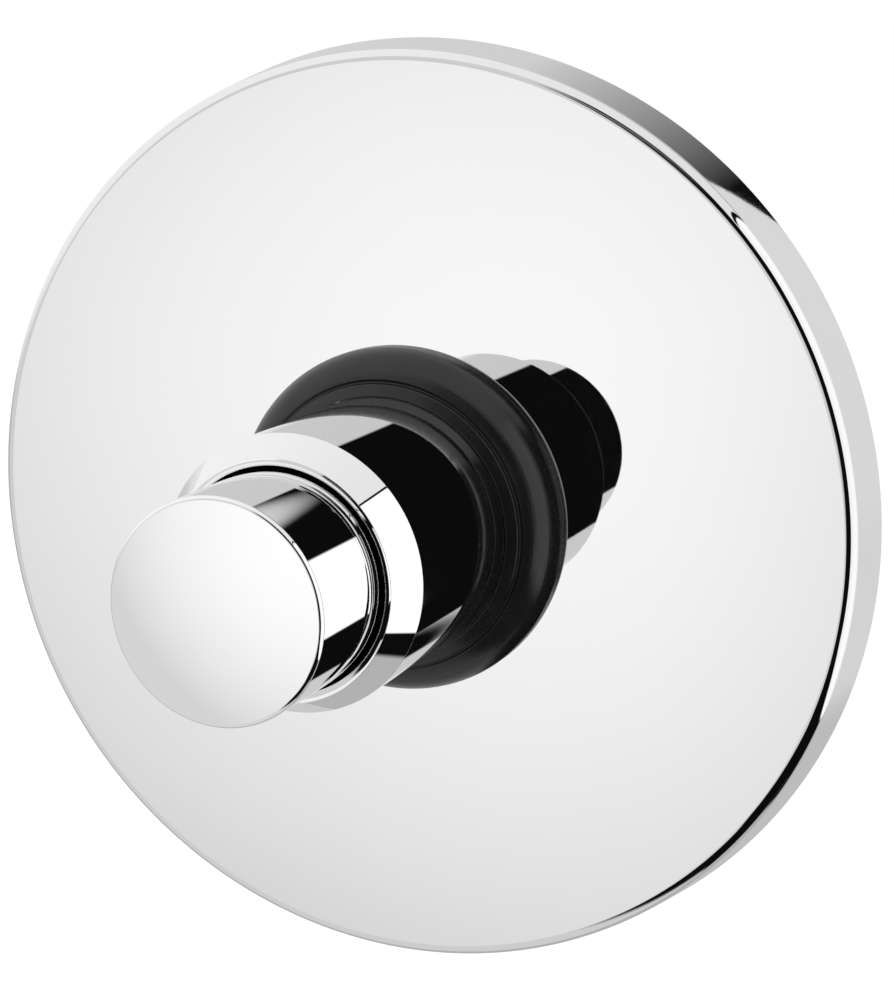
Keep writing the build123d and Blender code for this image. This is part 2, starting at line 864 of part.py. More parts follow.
# Relief pin: the push rod lifts it off its seat
with BuildPart() as pilot_pin:
    with BuildSketch():
        with BuildLine():
            Polyline(
                (0, pilot_front),
                (pilot_stem_radius, pilot_front),
                (pilot_stem_radius, pilot_head_front),
                (pilot_head_radius, pilot_head_front),
                (pilot_head_radius, pilot_head_rear),
                (pilot_tail_radius, pilot_head_rear),
                (pilot_tail_radius, pilot_head_rear + pilot_tail),
                (0, pilot_head_rear + pilot_tail),
                close=True,
            )
        make_face()
    revolve(axis=Axis.Y)

with BuildPart() as pilot_seal:
    with BuildSketch(facing_back(pilot_seat_face)):
        Circle(pilot_head_radius)
        Circle(pilot_stem_radius, mode=Mode.SUBTRACT)
    extrude(amount=pilot_washer)

# Perforated cap behind the relief pin, which holds its spring
with BuildPart() as pilot_cap:
    with BuildSketch(facing_back(pilot_cap_front)):
        Circle(pilot_cavity_radius)
        Circle(pilot_cap_hole_radius, mode=Mode.SUBTRACT)
        with ring_of(4, (pilot_cavity_radius + pilot_cap_hole_radius) / 2):
            Circle(pilot_land, mode=Mode.SUBTRACT)
    extrude(amount=pilot_cap_thickness)

with BuildPart() as pilot_spring:
    spring_line = coil_path(
        pilot_spring_radius,
        pilot_head_rear + pilot_spring_wire + stop_gap,
        pilot_cap_front - pilot_spring_wire - stop_gap,
        pilot_spring_turns,
    )
    sweep(wire_start(spring_line, pilot_spring_wire), path=spring_line)

# Valve body: one brass casting with the main barrel, stop barrel, inlet, outlet and lugs
with BuildPart() as valve_body:
    with BuildSketch(facing_back(body_front)):
        with Locations((0, stop_height)):
            Circle(stop_bore_radius + stop_wall)
        with Locations((0, stop_height / 2)):
            Rectangle(2 * (stop_bore_radius + stop_wall), stop_height)
    extrude(amount=stop_chamber_rear + stop_wall - body_front)
    fillet(valve_body.edges().group_by(Axis.Y)[-1], body_edge_round)
    with BuildSketch() as barrel_profile:
        with BuildLine():
            tail_front = body_rear - body_tail_length
            Polyline(
                (0, body_front),
                (barrel_radius, body_front),
                (barrel_radius, tail_front),
                (body_tail_radius, tail_front + barrel_radius - body_tail_radius),
                (body_tail_radius, body_rear),
                (0, body_rear),
                close=True,
            )
        make_face()
        tail_corner = Vector(body_tail_radius, body_rear)
        fillet(barrel_profile.vertices().sort_by_distance(tail_corner)[0], body_edge_round)
    revolve(axis=Axis.Y)
    with BuildSketch(level(0, port_place)):
        Circle(outlet_radius)
    extrude(amount=outlet_end)
    with BuildSketch(level(stop_height, port_place)):
        Circle(inlet_neck_radius)
    extrude(amount=inlet_neck_top - stop_height + inlet_thread_length - inlet_hex_length)
    with BuildSketch(level(inlet_top - inlet_hex_length, port_place)):
        RegularPolygon(inlet_hex_across / 2, 6, major_radius=False)
    extrude(amount=inlet_hex_length)
    with BuildSketch(facing_back(body_rear - lug_thickness)):
        SlotCenterToCenter(lug_spacing, lug_width)
    extrude(amount=lug_thickness)
    # Main bore: thread, cartridge, water grooves and the closed rear end
    with BuildSketch():
        with BuildLine():
            outlet_groove_radius = cartridge_radius + outlet_groove
            inlet_groove_radius = cup_radius + inlet_groove
            Polyline(
                (0, body_front),
                (bonnet_thread_radius, body_front),
                (bonnet_thread_radius, bonnet_thread_rear),
                (cartridge_radius, bonnet_thread_rear),
                (cartridge_radius, outlet_window_front),
                (outlet_groove_radius, outlet_window_front),
                (outlet_groove_radius, outlet_window_rear),
                (cartridge_radius, outlet_window_rear),
                (cartridge_radius, cage_rear),
                (cup_radius, cage_rear),
                (cup_radius, inlet_window_front),
                (inlet_groove_radius, inlet_window_front),
                (inlet_groove_radius, inlet_window_rear),
                (cup_radius, inlet_window_rear),
                (cup_radius, cup_rear),
                (0, cup_rear),
                close=True,
            )
        make_face()
    revolve(axis=Axis.Y, mode=Mode.SUBTRACT)
    # Stop valve's bore, with its seat between the two chambers
    with BuildSketch(stop_plane):
        with BuildLine():
            Polyline(
                (0, body_front),
                (stop_recess_radius, body_front),
                (stop_recess_radius, body_front + stop_seal_depth),
                (stop_bore_radius, body_front + stop_seal_depth),
                (stop_bore_radius, stop_web_front),
                (stop_seat_radius + 2 * stop_seat_lip, stop_web_front),
                (stop_seat_radius + stop_seat_lip, stop_seat_face),
                (stop_seat_radius, stop_seat_face),
                (stop_seat_radius, stop_web_rear),
                (stop_back_radius, stop_web_rear),
                (stop_back_radius, stop_chamber_rear),
                (0, stop_chamber_rear),
                close=True,
            )
        make_face()
    revolve(axis=stop_axis, mode=Mode.SUBTRACT)
    # Inlet bore and thread, passage between the chambers, outlet bores
    with BuildSketch(level(stop_height, port_place)):
        Circle(inlet_bore_radius)
    extrude(amount=inlet_neck_top - stop_height, mode=Mode.SUBTRACT)
    with BuildSketch(level(inlet_neck_top, port_place)):
        Circle(inlet_thread_radius)
    extrude(amount=inlet_thread_length, mode=Mode.SUBTRACT)
    with BuildSketch(level(0, passage_place)):
        Circle(passage_radius)
    extrude(amount=stop_height, mode=Mode.SUBTRACT)
    with BuildSketch(level(0, port_place)):
        Circle(outlet_bore_radius)
    extrude(amount=breaker_top, mode=Mode.SUBTRACT)
    with BuildSketch(level(breaker_top, port_place)):
        Circle(breaker_bore_radius)
    extrude(amount=-breaker_length, mode=Mode.SUBTRACT)
    with BuildSketch(level(breaker_bottom, port_place)):
        Circle(pipe_socket_radius)
    extrude(amount=-pipe_socket_length, mode=Mode.SUBTRACT)
    # Air holes of the pipe interrupter, and the lugs' bolt holes
    for air_hole in range(air_hole_count // 2):
        turn = air_hole * 360 / air_hole_count
        across = Plane(
            origin=(0, port_place, breaker_bottom + air_hole_inset),
            z_dir=(math.cos(math.radians(turn)), math.sin(math.radians(turn)), 0),
        )
        with BuildSketch(across):
            Circle(air_hole_radius)
        extrude(amount=outlet_radius, both=True, mode=Mode.SUBTRACT)
    with BuildSketch(facing_back(body_rear - lug_thickness)):
        with Locations((-lug_spacing / 2, 0), (lug_spacing / 2, 0)):
            Circle(lug_hole_radius)
    extrude(amount=lug_thickness, mode=Mode.SUBTRACT)

# Stop valve: gland screwed into the body, spindle, plug, washer and screw
with BuildPart() as stop_gland:
    with BuildSketch(stop_plane):
        with BuildLine():
            stem_bore = spindle_stem_radius + running_gap
            thread_bore = spindle_thread_radius + running_gap
            gland_outer = stop_bore_radius - thread_gap
            seal_bore = stem_bore + seal_depth
            gland_shoulder = spindle_shoulder - stop_gap
            Polyline(
                (stem_bore, stop_head_front),
                (stop_head_radius, stop_head_front),
                (stop_head_radius, body_front),
                (gland_outer, body_front),
                (gland_outer, stop_thread_rear),
                (gland_outer - stop_nose_step, stop_gland_rear),
                (thread_bore, stop_gland_rear),
                (thread_bore, gland_shoulder),
                (stem_bore, gland_shoulder),
                (stem_bore, spindle_seal_rear),
                (seal_bore, spindle_seal_rear),
                (seal_bore, body_front),
                (stem_bore, body_front),
                close=True,
            )
        make_face()
    revolve(axis=stop_axis)
    with BuildSketch(facing_back(stop_head_front, stop_height)):
        with ring_of(2, stop_head_radius):
            Rectangle(2 * stop_notch_depth, stop_notch_width)
    extrude(amount=stop_head, mode=Mode.SUBTRACT)

with BuildPart() as stop_o_rings:
    with BuildSketch(stop_plane) as spindle_seal:
        with BuildLine():
            Polyline(
                (stem_bore, body_front),
                (seal_bore, body_front),
                (seal_bore, spindle_seal_rear),
                (stem_bore, spindle_seal_rear),
                close=True,
            )
        make_face()
        fillet(spindle_seal.vertices(), seal_corner)
    revolve(axis=stop_axis)
    with BuildSketch(stop_plane) as gland_seal:
        with BuildLine():
            Polyline(
                (stop_bore_radius, body_front),
                (stop_recess_radius, body_front),
                (stop_recess_radius, body_front + stop_seal_depth),
                (stop_bore_radius, body_front + stop_seal_depth),
                close=True,
            )
        make_face()
        fillet(gland_seal.vertices(), seal_corner)
    revolve(axis=stop_axis)

with BuildPart() as stop_spindle:
    with BuildSketch(stop_plane):
        with BuildLine():
            Polyline(
                (0, spindle_front),
                (spindle_stem_radius, spindle_front),
                (spindle_stem_radius, spindle_shoulder),
                (spindle_thread_radius, spindle_shoulder),
                (spindle_thread_radius, stop_hub_front - stop_gap),
                (spindle_nose_radius, stop_hub_front - stop_gap),
                (spindle_nose_radius, stop_socket_floor - stop_gap),
                (0, stop_socket_floor - stop_gap),
                close=True,
            )
        make_face()
    revolve(axis=stop_axis)
    with BuildSketch(facing_back(spindle_front, stop_height)):
        Rectangle(2 * spindle_stem_radius, spindle_slot_width)
    extrude(amount=spindle_slot_depth, mode=Mode.SUBTRACT)

with BuildPart() as stop_plug:
    with BuildSketch(stop_plane):
        with BuildLine():
            Polyline(
                (spindle_nose_radius + running_gap, stop_hub_front),
                (stop_hub_radius, stop_hub_front),
                (stop_hub_radius, stop_disc_front),
                (stop_washer_radius, stop_disc_front),
                (stop_washer_radius, stop_washer_front),
                (stop_screw_radius, stop_washer_front),
                (stop_screw_radius, stop_washer_front - stop_screw_length),
                (0, stop_washer_front - stop_screw_length),
                (0, stop_socket_floor),
                (spindle_nose_radius + running_gap, stop_socket_floor),
                close=True,
            )
        make_face()
    revolve(axis=stop_axis)

with BuildPart() as stop_washer:
    with BuildSketch(facing_back(stop_washer_front, stop_height)):
        Circle(stop_washer_radius)
        Circle(stop_screw_radius, mode=Mode.SUBTRACT)
    extrude(amount=stop_washer_thickness)
    chamfer(stop_washer.edges().group_by(Axis.Y)[-1].sort_by(SortBy.LENGTH)[-1], lip_edge)

with BuildPart() as stop_screw:
    with BuildSketch(facing_back(stop_washer_front - stop_screw_length, stop_height)):
        Circle(stop_screw_radius)
    extrude(amount=stop_screw_length + stop_washer_thickness)
    with BuildSketch(facing_back(stop_washer_rear, stop_height)):
        Circle(stop_screw_head_radius)
    extrude(amount=stop_screw_head)
    with BuildSketch(facing_back(stop_washer_rear + stop_screw_head / 2, stop_height)):
        Rectangle(2 * stop_screw_head_radius, stop_screw_head / 2)
    extrude(amount=stop_screw_head / 2, mode=Mode.SUBTRACT)

# Pipe interrupter: slotted cage and the rubber sleeve round it
with BuildPart() as breaker_cage:
    with BuildSketch(port_plane):
        with BuildLine():
            cage_foot = breaker_top - breaker_flange - breaker_tube_length
            Polyline(
                (breaker_radius - breaker_wall, breaker_top),
                (breaker_bore_radius, breaker_top),
                (breaker_bore_radius, breaker_top - breaker_flange),
                (breaker_radius, breaker_top - breaker_flange),
                (breaker_radius, cage_foot),
                (0, cage_foot),
                (0, cage_foot + breaker_cap),
                (breaker_radius - breaker_wall, cage_foot + breaker_cap),
                close=True,
            )
        make_face()
    revolve(axis=port_axis)
    with BuildSketch(level(cage_foot + breaker_cap + breaker_wall, port_place)):
        with ring_of(breaker_slot_count, breaker_radius):
            Rectangle(4 * breaker_wall, breaker_slot_width)
    extrude(amount=breaker_slot_length, mode=Mode.SUBTRACT)

with BuildPart() as breaker_membrane:
    with BuildSketch(port_plane):
        with BuildLine():
            membrane_top = breaker_top - breaker_flange
            membrane_radius = breaker_radius + membrane_thickness
            Polyline(
                (breaker_radius, membrane_top),
                (breaker_bore_radius, membrane_top),
                (breaker_bore_radius, membrane_top - membrane_flange),
                (membrane_radius, membrane_top - membrane_flange),
                (membrane_radius, membrane_top - membrane_length),
                (breaker_radius, membrane_top - membrane_length),
                close=True,
            )
        make_face()
    revolve(axis=port_axis)

# Coupling of the flush pipe: union nut and rubber seal
with BuildPart() as outlet_nut:
    with BuildSketch(level(nut_end, port_place)):
        RegularPolygon(outlet_radius + nut_wall, 6, major_radius=False)
    extrude(amount=nut_thread_length + pipe_seal_thickness + nut_lip)
    with BuildSketch(level(nut_seat, port_place)):
        Circle(outlet_radius + thread_gap)
    extrude(amount=nut_thread_length + pipe_seal_thickness, mode=Mode.SUBTRACT)
    with BuildSketch(level(nut_end, port_place)):
        Circle(nut_lip_radius)
    extrude(amount=nut_lip, mode=Mode.SUBTRACT)

with BuildPart() as outlet_seal:
    with BuildSketch(level(nut_seat, port_place)):
        Circle(outlet_radius)
        Circle(pipe_socket_radius, mode=Mode.SUBTRACT)
    extrude(amount=pipe_seal_thickness)
    chamfer(
        outlet_seal.edges().group_by(Axis.Z)[-1].sort_by(SortBy.LENGTH)[0],
        pipe_seal_chamfer,
    )

pieces = {
    "wall_plate": wall_plate,
    "plate_ring": plate_ring,
    "sleeve": sleeve,
    "guide_bush": guide_bush,
    "push_button": push_button,
    "button_carrier": button_carrier,
    "push_rod": push_rod,
    "rod_nut": rod_nut,
    "button_spring": button_spring,
    "bonnet": bonnet,
    "bonnet_o_ring": bonnet_o_ring,
    "rod_gland": rod_gland,
    "rod_o_rings": rod_o_rings,
    "cartridge_cage": cartridge_cage,
    "cage_o_ring": cage_o_ring,
    "chamber_cup": chamber_cup,
    "piston": piston,
    "seat_washer": seat_washer,
    "washer_clamp": washer_clamp,
    "piston_lip_seal": piston_lip_seal,
    "bleed_nozzle": bleed_nozzle,
    "closing_spring": closing_spring,
    "pilot_seat": pilot_seat,
    "pilot_pin": pilot_pin,
    "pilot_seal": pilot_seal,
    "pilot_cap": pilot_cap,
    "pilot_spring": pilot_spring,
    "valve_body": valve_body,
    "stop_gland": stop_gland,
    "stop_o_rings": stop_o_rings,
    "stop_spindle": stop_spindle,
    "stop_plug": stop_plug,
    "stop_washer": stop_washer,
    "stop_screw": stop_screw,
    "breaker_cage": breaker_cage,
    "breaker_membrane": breaker_membrane,
    "outlet_nut": outlet_nut,
    "outlet_seal": outlet_seal,
}

os.makedirs("parts", exist_ok=True)
for name, piece in pieces.items():
    piece.part.label = name
    export_step(piece.part, f"parts/{name}.step")
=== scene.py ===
import math

import bpy
from mathutils import Matrix, Vector


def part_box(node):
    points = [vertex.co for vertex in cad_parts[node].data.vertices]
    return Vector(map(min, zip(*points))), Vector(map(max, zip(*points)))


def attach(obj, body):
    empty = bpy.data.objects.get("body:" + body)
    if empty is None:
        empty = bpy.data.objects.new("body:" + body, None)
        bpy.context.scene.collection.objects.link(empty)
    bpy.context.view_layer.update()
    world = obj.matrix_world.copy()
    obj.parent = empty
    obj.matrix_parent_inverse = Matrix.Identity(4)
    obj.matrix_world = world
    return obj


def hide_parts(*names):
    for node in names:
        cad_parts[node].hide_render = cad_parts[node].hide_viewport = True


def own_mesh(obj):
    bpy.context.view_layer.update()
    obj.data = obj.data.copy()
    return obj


MM = 0.001
TURN = 2 * math.pi
TO_DEGREES = 360.0 / TURN

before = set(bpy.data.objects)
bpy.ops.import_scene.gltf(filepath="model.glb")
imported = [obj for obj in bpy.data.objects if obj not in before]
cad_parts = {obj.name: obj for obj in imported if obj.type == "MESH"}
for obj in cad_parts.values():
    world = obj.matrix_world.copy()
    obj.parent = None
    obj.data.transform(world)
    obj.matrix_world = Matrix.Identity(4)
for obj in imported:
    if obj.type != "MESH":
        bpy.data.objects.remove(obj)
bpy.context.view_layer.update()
scene = bpy.context.scene


# ---------------------------------------------------------------- node trees

class Graph:
    """A node tree with short calls for the nodes that are used again and again."""

    def __init__(self, tree):
        self.tree = tree
        tree.nodes.clear()

    def add(self, kind, inputs=None, **settings):
        """A new node. Inputs go by name or number, and are sockets to link or values to set."""
        made = self.tree.nodes.new(kind)
        for name, value in settings.items():
            setattr(made, name, value)
        for name, value in (inputs or {}).items():
            if isinstance(value, bpy.types.NodeSocket):
                self.tree.links.new(value, made.inputs[name])
            else:
                made.inputs[name].default_value = value
        return made

    def math(self, operation, first, second=0.0):
        return self.add("ShaderNodeMath", {0: first, 1: second}, operation=operation).outputs[0]

    def total(self, *values):
        result = values[0]
        for value in values[1:]:
            result = self.math("ADD", result, value)
        return result

    def product(self, *values):
        result = values[0]
        for value in values[1:]:
            result = self.math("MULTIPLY", result, value)
        return result

    def largest(self, *values):
        result = values[0]
        for value in values[1:]:
            result = self.math("MAXIMUM", result, value)
        return result

    def inverse(self, value):
        return self.math("SUBTRACT", 1.0, value)

    def hypotenuse(self, first, second):
        return self.math("SQRT", self.total(self.product(first, first), self.product(second, second)))

    def bearing(self, up, right):
        """Angle of a direction in degrees: 0 to the right, 90 up."""
        return self.product(self.math("ARCTAN2", up, right), TO_DEGREES)

    def vector_math(self, operation, first, second):
        return self.add("ShaderNodeVectorMath", {0: first, 1: second}, operation=operation).outputs

    def dot(self, first, second):
        return self.vector_math("DOT_PRODUCT", first, second)["Value"]

    def scaled(self, vector, factors):
        return self.vector_math("MULTIPLY", vector, factors)[0]

    def moved(self, vector, offset):
        return self.vector_math("ADD", vector, offset)[0]

    def split(self, vector):
        return self.add("ShaderNodeSeparateXYZ", {0: vector}).outputs

    def spread(self, value, low, high, to_low=0.0, to_high=1.0, smooth=False):
        """Carries the range from low to high over to another range, and holds the value beyond its ends."""
        kind = "SMOOTHSTEP" if smooth else "LINEAR"
        return self.add("ShaderNodeMapRange", {0: value, 1: low, 2: high, 3: to_low, 4: to_high},
                        interpolation_type=kind).outputs[0]

    def over(self, value, edge, soft):
        """0 below the edge, 1 above it, with a soft change between."""
        return self.spread(value, edge - soft, edge + soft, smooth=True)

    def under(self, value, edge, soft):
        """1 below the edge, 0 above it, with a soft change between."""
        return self.inverse(self.over(value, edge, soft))

    def between(self, value, low, high):
        """1 between two edges, which are pairs of a place and a softness."""
        return self.product(self.over(value, *low), self.under(value, *high))

    def blend(self, share, first, second):
        return self.math("ADD", first, self.product(share, self.math("SUBTRACT", second, first)))

    def tint(self, share, first, second):
        return self.add("ShaderNodeMix", {0: share, 6: first, 7: second}, data_type="RGBA").outputs[2]

    def noise(self, vector, scale, detail=2.0, roughness=0.5, distortion=0.0):
        return self.add("ShaderNodeTexNoise", {"Vector": vector, "Scale": scale, "Detail": detail,
                                               "Roughness": roughness, "Distortion": distortion}).outputs[0]

    def bevel(self, radius, samples=4):
        """The surface's normal as if its edges were rounded."""
        return self.add("ShaderNodeBevel", {"Radius": radius}, samples=samples).outputs[0]

    def bump(self, height, strength, distance, **normal):
        return self.add("ShaderNodeBump", {"Strength": strength, "Distance": distance, "Height": height,
                                           **normal}).outputs[0]

    def at_edges(self, bevelled, flat, sharp):
        """0 on faces and 1 on edges, from how far the bevelled normal leans away from the true one."""
        return self.spread(self.dot(bevelled, self.add("ShaderNodeNewGeometry").outputs["Normal"]), flat, sharp)


def new_material(name):
    """A material with an empty graph, and the place on the object to draw its pattern by."""
    material = bpy.data.materials.new(name)
    material.use_nodes = True
    g = Graph(material.node_tree)
    return material, g, g.add("ShaderNodeTexCoord").outputs["Object"]


def rgb(*colour):
    return (*colour, 1.0)


def brighter(colour, factor):
    return rgb(*(min(1.0, factor * channel) for channel in colour))


# ------------------------------------------------------------- studio lights

# The studio is drawn by direction only. X is to the right, Y into the wall and Z up, so a depth along Y of -1 is
# straight ahead, into the room. A slope is a tangent measured from straight ahead. A turn is an angle in degrees
# about straight ahead: 0 to the right, 90 up. An edge is a pair: where it lies, and half the width of its soft change.

# Planes that bound the studio's cards and flags, by their normals
CARD_UPPER = (0.7373, 0.0, -0.6756)
CARD_LOWER = (0.6677, 0.1142, 0.7356)
FLAG_SIDE = (0.9588, -0.0350, 0.2819)
FLAG_LOWER = (0.7554, -0.3650, 0.5444)
ON_PLANE = (0.0, 0.012)
FLAG_DARK = 0.004

LEAST_FORWARD = 0.02
FRONT_HALF = (0.0, 0.02)
BELOW_MIDDLE = (0.0, 0.02)
REAR_START = (0.72, 0.04)
SECOND_REFLECTION = (1.5, 0.1)

# Large card ahead: its brightest point, how fast it falls off on either side of that point, and its levels
CARD_CENTRE = (-0.38, -0.16)
CARD_FALL_ACROSS = (2.6, 6.0)
CARD_FALL_UP = (3.4, 5.0)
CARD_FALL_CHANGE = 0.02
CARD_BRIGHTEST, CARD_DIMMEST = 1.05, 0.68
CARD_TOP, LEVEL_ABOVE_CARD = (0.60, 0.06), 0.70

# Light beside the object, with a black patch low at the right, and a dim border at the top before the rear starts
SIDE_TURNS, SIDE_LEVELS = (40.0, 140.0), (0.84, 0.94)
SIDE_UPPER, SIDE_LOW_LEVEL = (0.0, 0.1), 0.47
PATCH_TURNS, PATCH_REAR = ((-60.0, 2.0), (-42.0, 2.0)), (0.36, 0.03)
BORDER_TURNS, BORDER_FRONT = ((42.0, 3.0), (140.0, 10.0)), (0.60, 0.03)
BORDER_FADE, BORDER_LEVELS = (45.0, 120.0), (0.22, 0.64)

# Light behind the object in steps over the turn, with a shadow at the top right that starts at a slanting line
REAR_LEVEL = 0.54
REAR_STEPS = (((-62.0, 8.0), 0.72), ((-20.0, 10.0), 0.76))
SHADOW_FADE, SHADOW_LEVELS = (58.0, 112.0), (0.005, 0.68)
SHADOW_TILT, SHADOW_SLANT, SHADOW_START = 146.8, 46.0, (45.4, 1.5)

# Where the side light reaches forward into the front half, at the top
RAISED_FRONT, RAISED_TURNS = (-0.70, 0.04), ((40.0, 3.0), (175.0, 10.0))

# Black flags
FLAG_INNER, FLAG_TOP = (0.20, 0.06), (0.545, 0.02)
LOW_FLAG_TOP = (-0.5, 0.02)
WEDGE_FRONT = (-0.15, 0.03)
RIM_FLAG_SLOPE = (0.612, 0.006)
RIM_FLAG_CENTRE, RIM_FLAG_TURN = (-0.435, -0.228), (70.0, 5.0)

# Strip card at the right, brightest at its middle depths; second reflections see only its rear part
STRIP_SLOPE = (1.12, 0.05)
STRIP_AGAIN_FRONT = (0.0, 0.15)
STRIP_BRIGHT = ((-0.30, 0.05), (0.50, 0.05))
STRIP_BRIGHT_LEVEL, STRIP_FRONT_LEVEL, STRIP_REAR_LEVEL = 1.09, 1.0, 0.86
STRIP_REAR = (0.0, 0.1)

# White patch that only second reflections see, as a card close to the object would show in them
NEAR_SLOPES, NEAR_TURNS, NEAR_LEVEL = ((0.5165, 0.003), (0.592, 0.004)), ((-50.2, 1.5), (30.8, 1.5)), 1.25

# Thin dark gap along the strip card's upper edge
SEAM_WIDTH = (0.012, 0.004)
SEAM_DEPTHS, SEAM_RIGHT = ((-0.62, 0.02), (0.6, 0.04)), (0.0, 0.02)


class Sight:
    """The direction in which a mirror looks, in the measures that the studio's edges are given in."""

    def __init__(self, g, way):
        self.way = way
        self.x, self.y, self.z = g.split(way)
        ahead = g.product(self.y, -1.0)
        forward = g.math("MAXIMUM", ahead, LEAST_FORWARD)
        self.across = g.math("DIVIDE", self.x, forward)
        self.rise = g.math("DIVIDE", self.z, forward)
        self.slope = g.hypotenuse(self.across, self.rise)
        self.turn = g.bearing(self.z, self.x)
        self.tilt = g.product(g.math("ARCCOSINE", ahead), TO_DEGREES)
        self.front = g.over(ahead, *FRONT_HALF)
        self.raised = g.product(g.over(self.y, *RAISED_FRONT), g.between(self.turn, *RAISED_TURNS))
        self.again = g.over(g.add("ShaderNodeLightPath").outputs["Glossy Depth"], *SECOND_REFLECTION)


def large_card(g, to):
    """The card ahead, which the plate's front and the button's face show."""
    beside = g.math("SUBTRACT", to.across, CARD_CENTRE[0])
    above = g.math("SUBTRACT", to.rise, CARD_CENTRE[1])
    falls = [g.product(off, off, g.spread(off, -CARD_FALL_CHANGE, CARD_FALL_CHANGE, *fall))
             for off, fall in ((beside, CARD_FALL_ACROSS), (above, CARD_FALL_UP))]
    card = g.math("MAXIMUM", g.math("SUBTRACT", CARD_BRIGHTEST, g.total(*falls)), CARD_DIMMEST)
    return g.blend(g.over(to.rise, *CARD_TOP), card, LEVEL_ABOVE_CARD)


def side_light(g, to):
    side = g.spread(to.turn, *SIDE_TURNS, *SIDE_LEVELS, smooth=True)
    side = g.blend(g.over(to.z, *SIDE_UPPER), SIDE_LOW_LEVEL, side)
    patch = g.product(g.between(to.turn, *PATCH_TURNS), g.under(to.y, *PATCH_REAR))
    side = g.blend(patch, side, FLAG_DARK)
    border = g.product(g.over(to.y, *BORDER_FRONT), g.between(to.turn, *BORDER_TURNS))
    return g.blend(border, side, g.spread(to.turn, *BORDER_FADE, *BORDER_LEVELS))


def rear_light(g, to):
    rear = REAR_LEVEL
    for edge, level in REAR_STEPS:
        rear = g.blend(g.over(to.turn, *edge), rear, level)
    slant = g.product(SHADOW_SLANT, g.math("SUBTRACT", to.tilt, SHADOW_TILT))
    shadow = g.product(g.over(g.total(to.turn, slant), *SHADOW_START), g.over(to.z, *BELOW_MIDDLE))
    return g.blend(shadow, rear, g.spread(to.turn, *SHADOW_FADE, *SHADOW_LEVELS))


def black_flags(g, to):
    """1 where a black flag stands: beside and below the card ahead, under the strip card, and round the rim's edge."""
    past_lower = g.over(g.dot(to.way, FLAG_LOWER), *ON_PLANE)
    beside = g.product(to.front, g.under(to.rise, *FLAG_TOP), g.over(to.slope, *FLAG_INNER),
                       g.over(g.dot(to.way, FLAG_SIDE), *ON_PLANE))
    below = g.product(to.front, past_lower, g.under(to.rise, *LOW_FLAG_TOP))
    wedge = g.product(g.under(g.dot(to.way, CARD_LOWER), *ON_PLANE), past_lower, g.under(to.z, *BELOW_MIDDLE),
                      g.between(to.y, WEDGE_FRONT, REAR_START))
    off_centre = g.bearing(g.math("SUBTRACT", to.rise, RIM_FLAG_CENTRE[1]),
                           g.math("SUBTRACT", to.across, RIM_FLAG_CENTRE[0]))
    round_rim = g.product(to.front, g.over(to.slope, *RIM_FLAG_SLOPE),
                          g.under(g.math("ABSOLUTE", off_centre), *RIM_FLAG_TURN), g.inverse(to.raised))
    return g.largest(beside, below, wedge, round_rim)


def strip_card(g, to):
    """Where the strip card stands, and how bright it is there."""
    outside = g.math("MAXIMUM", g.over(to.slope, *STRIP_SLOPE), g.inverse(to.front))
    hidden = g.product(to.again, g.under(to.y, *STRIP_AGAIN_FRONT))
    card = g.product(g.over(g.dot(to.way, CARD_LOWER), *ON_PLANE), g.over(g.dot(to.way, CARD_UPPER), *ON_PLANE),
                     outside, g.under(to.y, *REAR_START), g.inverse(hidden))
    ends = g.blend(g.over(to.y, *STRIP_REAR), STRIP_FRONT_LEVEL, STRIP_REAR_LEVEL)
    return card, g.blend(g.between(to.y, *STRIP_BRIGHT), ends, STRIP_BRIGHT_LEVEL)


def studio_pattern(g, way):
    """What polished metal reflects: a large soft card ahead, a strip card at the right, black flags between."""
    to = Sight(g, way)
    around = g.blend(g.over(to.y, *REAR_START), side_light(g, to), rear_light(g, to))
    value = g.blend(g.product(to.front, g.inverse(to.raised)), around, large_card(g, to))
    value = g.blend(black_flags(g, to), value, FLAG_DARK)
    strip, strip_level = strip_card(g, to)
    value = g.blend(strip, value, strip_level)
    near = g.product(to.front, g.between(to.slope, *NEAR_SLOPES), g.between(to.turn, *NEAR_TURNS), to.again)
    value = g.blend(near, value, NEAR_LEVEL)
    seam = g.product(g.under(g.math("ABSOLUTE", g.dot(to.way, CARD_UPPER)), *SEAM_WIDTH),
                     g.between(to.y, *SEAM_DEPTHS), g.over(to.x, *SEAM_RIGHT))
    return g.blend(seam, value, FLAG_DARK)


WHITE = rgb(1.0, 1.0, 1.0)
PLAIN_LEVEL = 0.72


def make_world():
    """A camera sees white, a mirror sees the studio, and anything else is lit from all sides at a plain level."""
    world = bpy.data.worlds.new("studio")
    world.use_nodes = True
    world.cycles.sampling_method = "NONE"
    scene.world = world
    g = Graph(world.node_tree)
    way = g.add("ShaderNodeTexCoord").outputs["Generated"]
    pattern = g.add("ShaderNodeBackground", {"Color": studio_pattern(g, way), "Strength": 1.0})
    plain = g.add("ShaderNodeBackground", {"Color": WHITE, "Strength": PLAIN_LEVEL})
    white = g.add("ShaderNodeBackground", {"Color": WHITE, "Strength": 1.0})
    ray = g.add("ShaderNodeLightPath").outputs
    soft = g.add("ShaderNodeMixShader", {0: ray["Is Glossy Ray"], 1: plain.outputs[0], 2: pattern.outputs[0]})
    seen = g.add("ShaderNodeMixShader", {0: ray["Is Camera Ray"], 1: soft.outputs[0], 2: white.outputs[0]})
    g.add("ShaderNodeOutputWorld", {"Surface": seen.outputs[0]})


FLOOR_HALF, FLOOR_HEIGHT = 30.0, -0.6
FLOOR_SHADES = (0.80, 0.82)
FLOOR_GLOW = 0.42


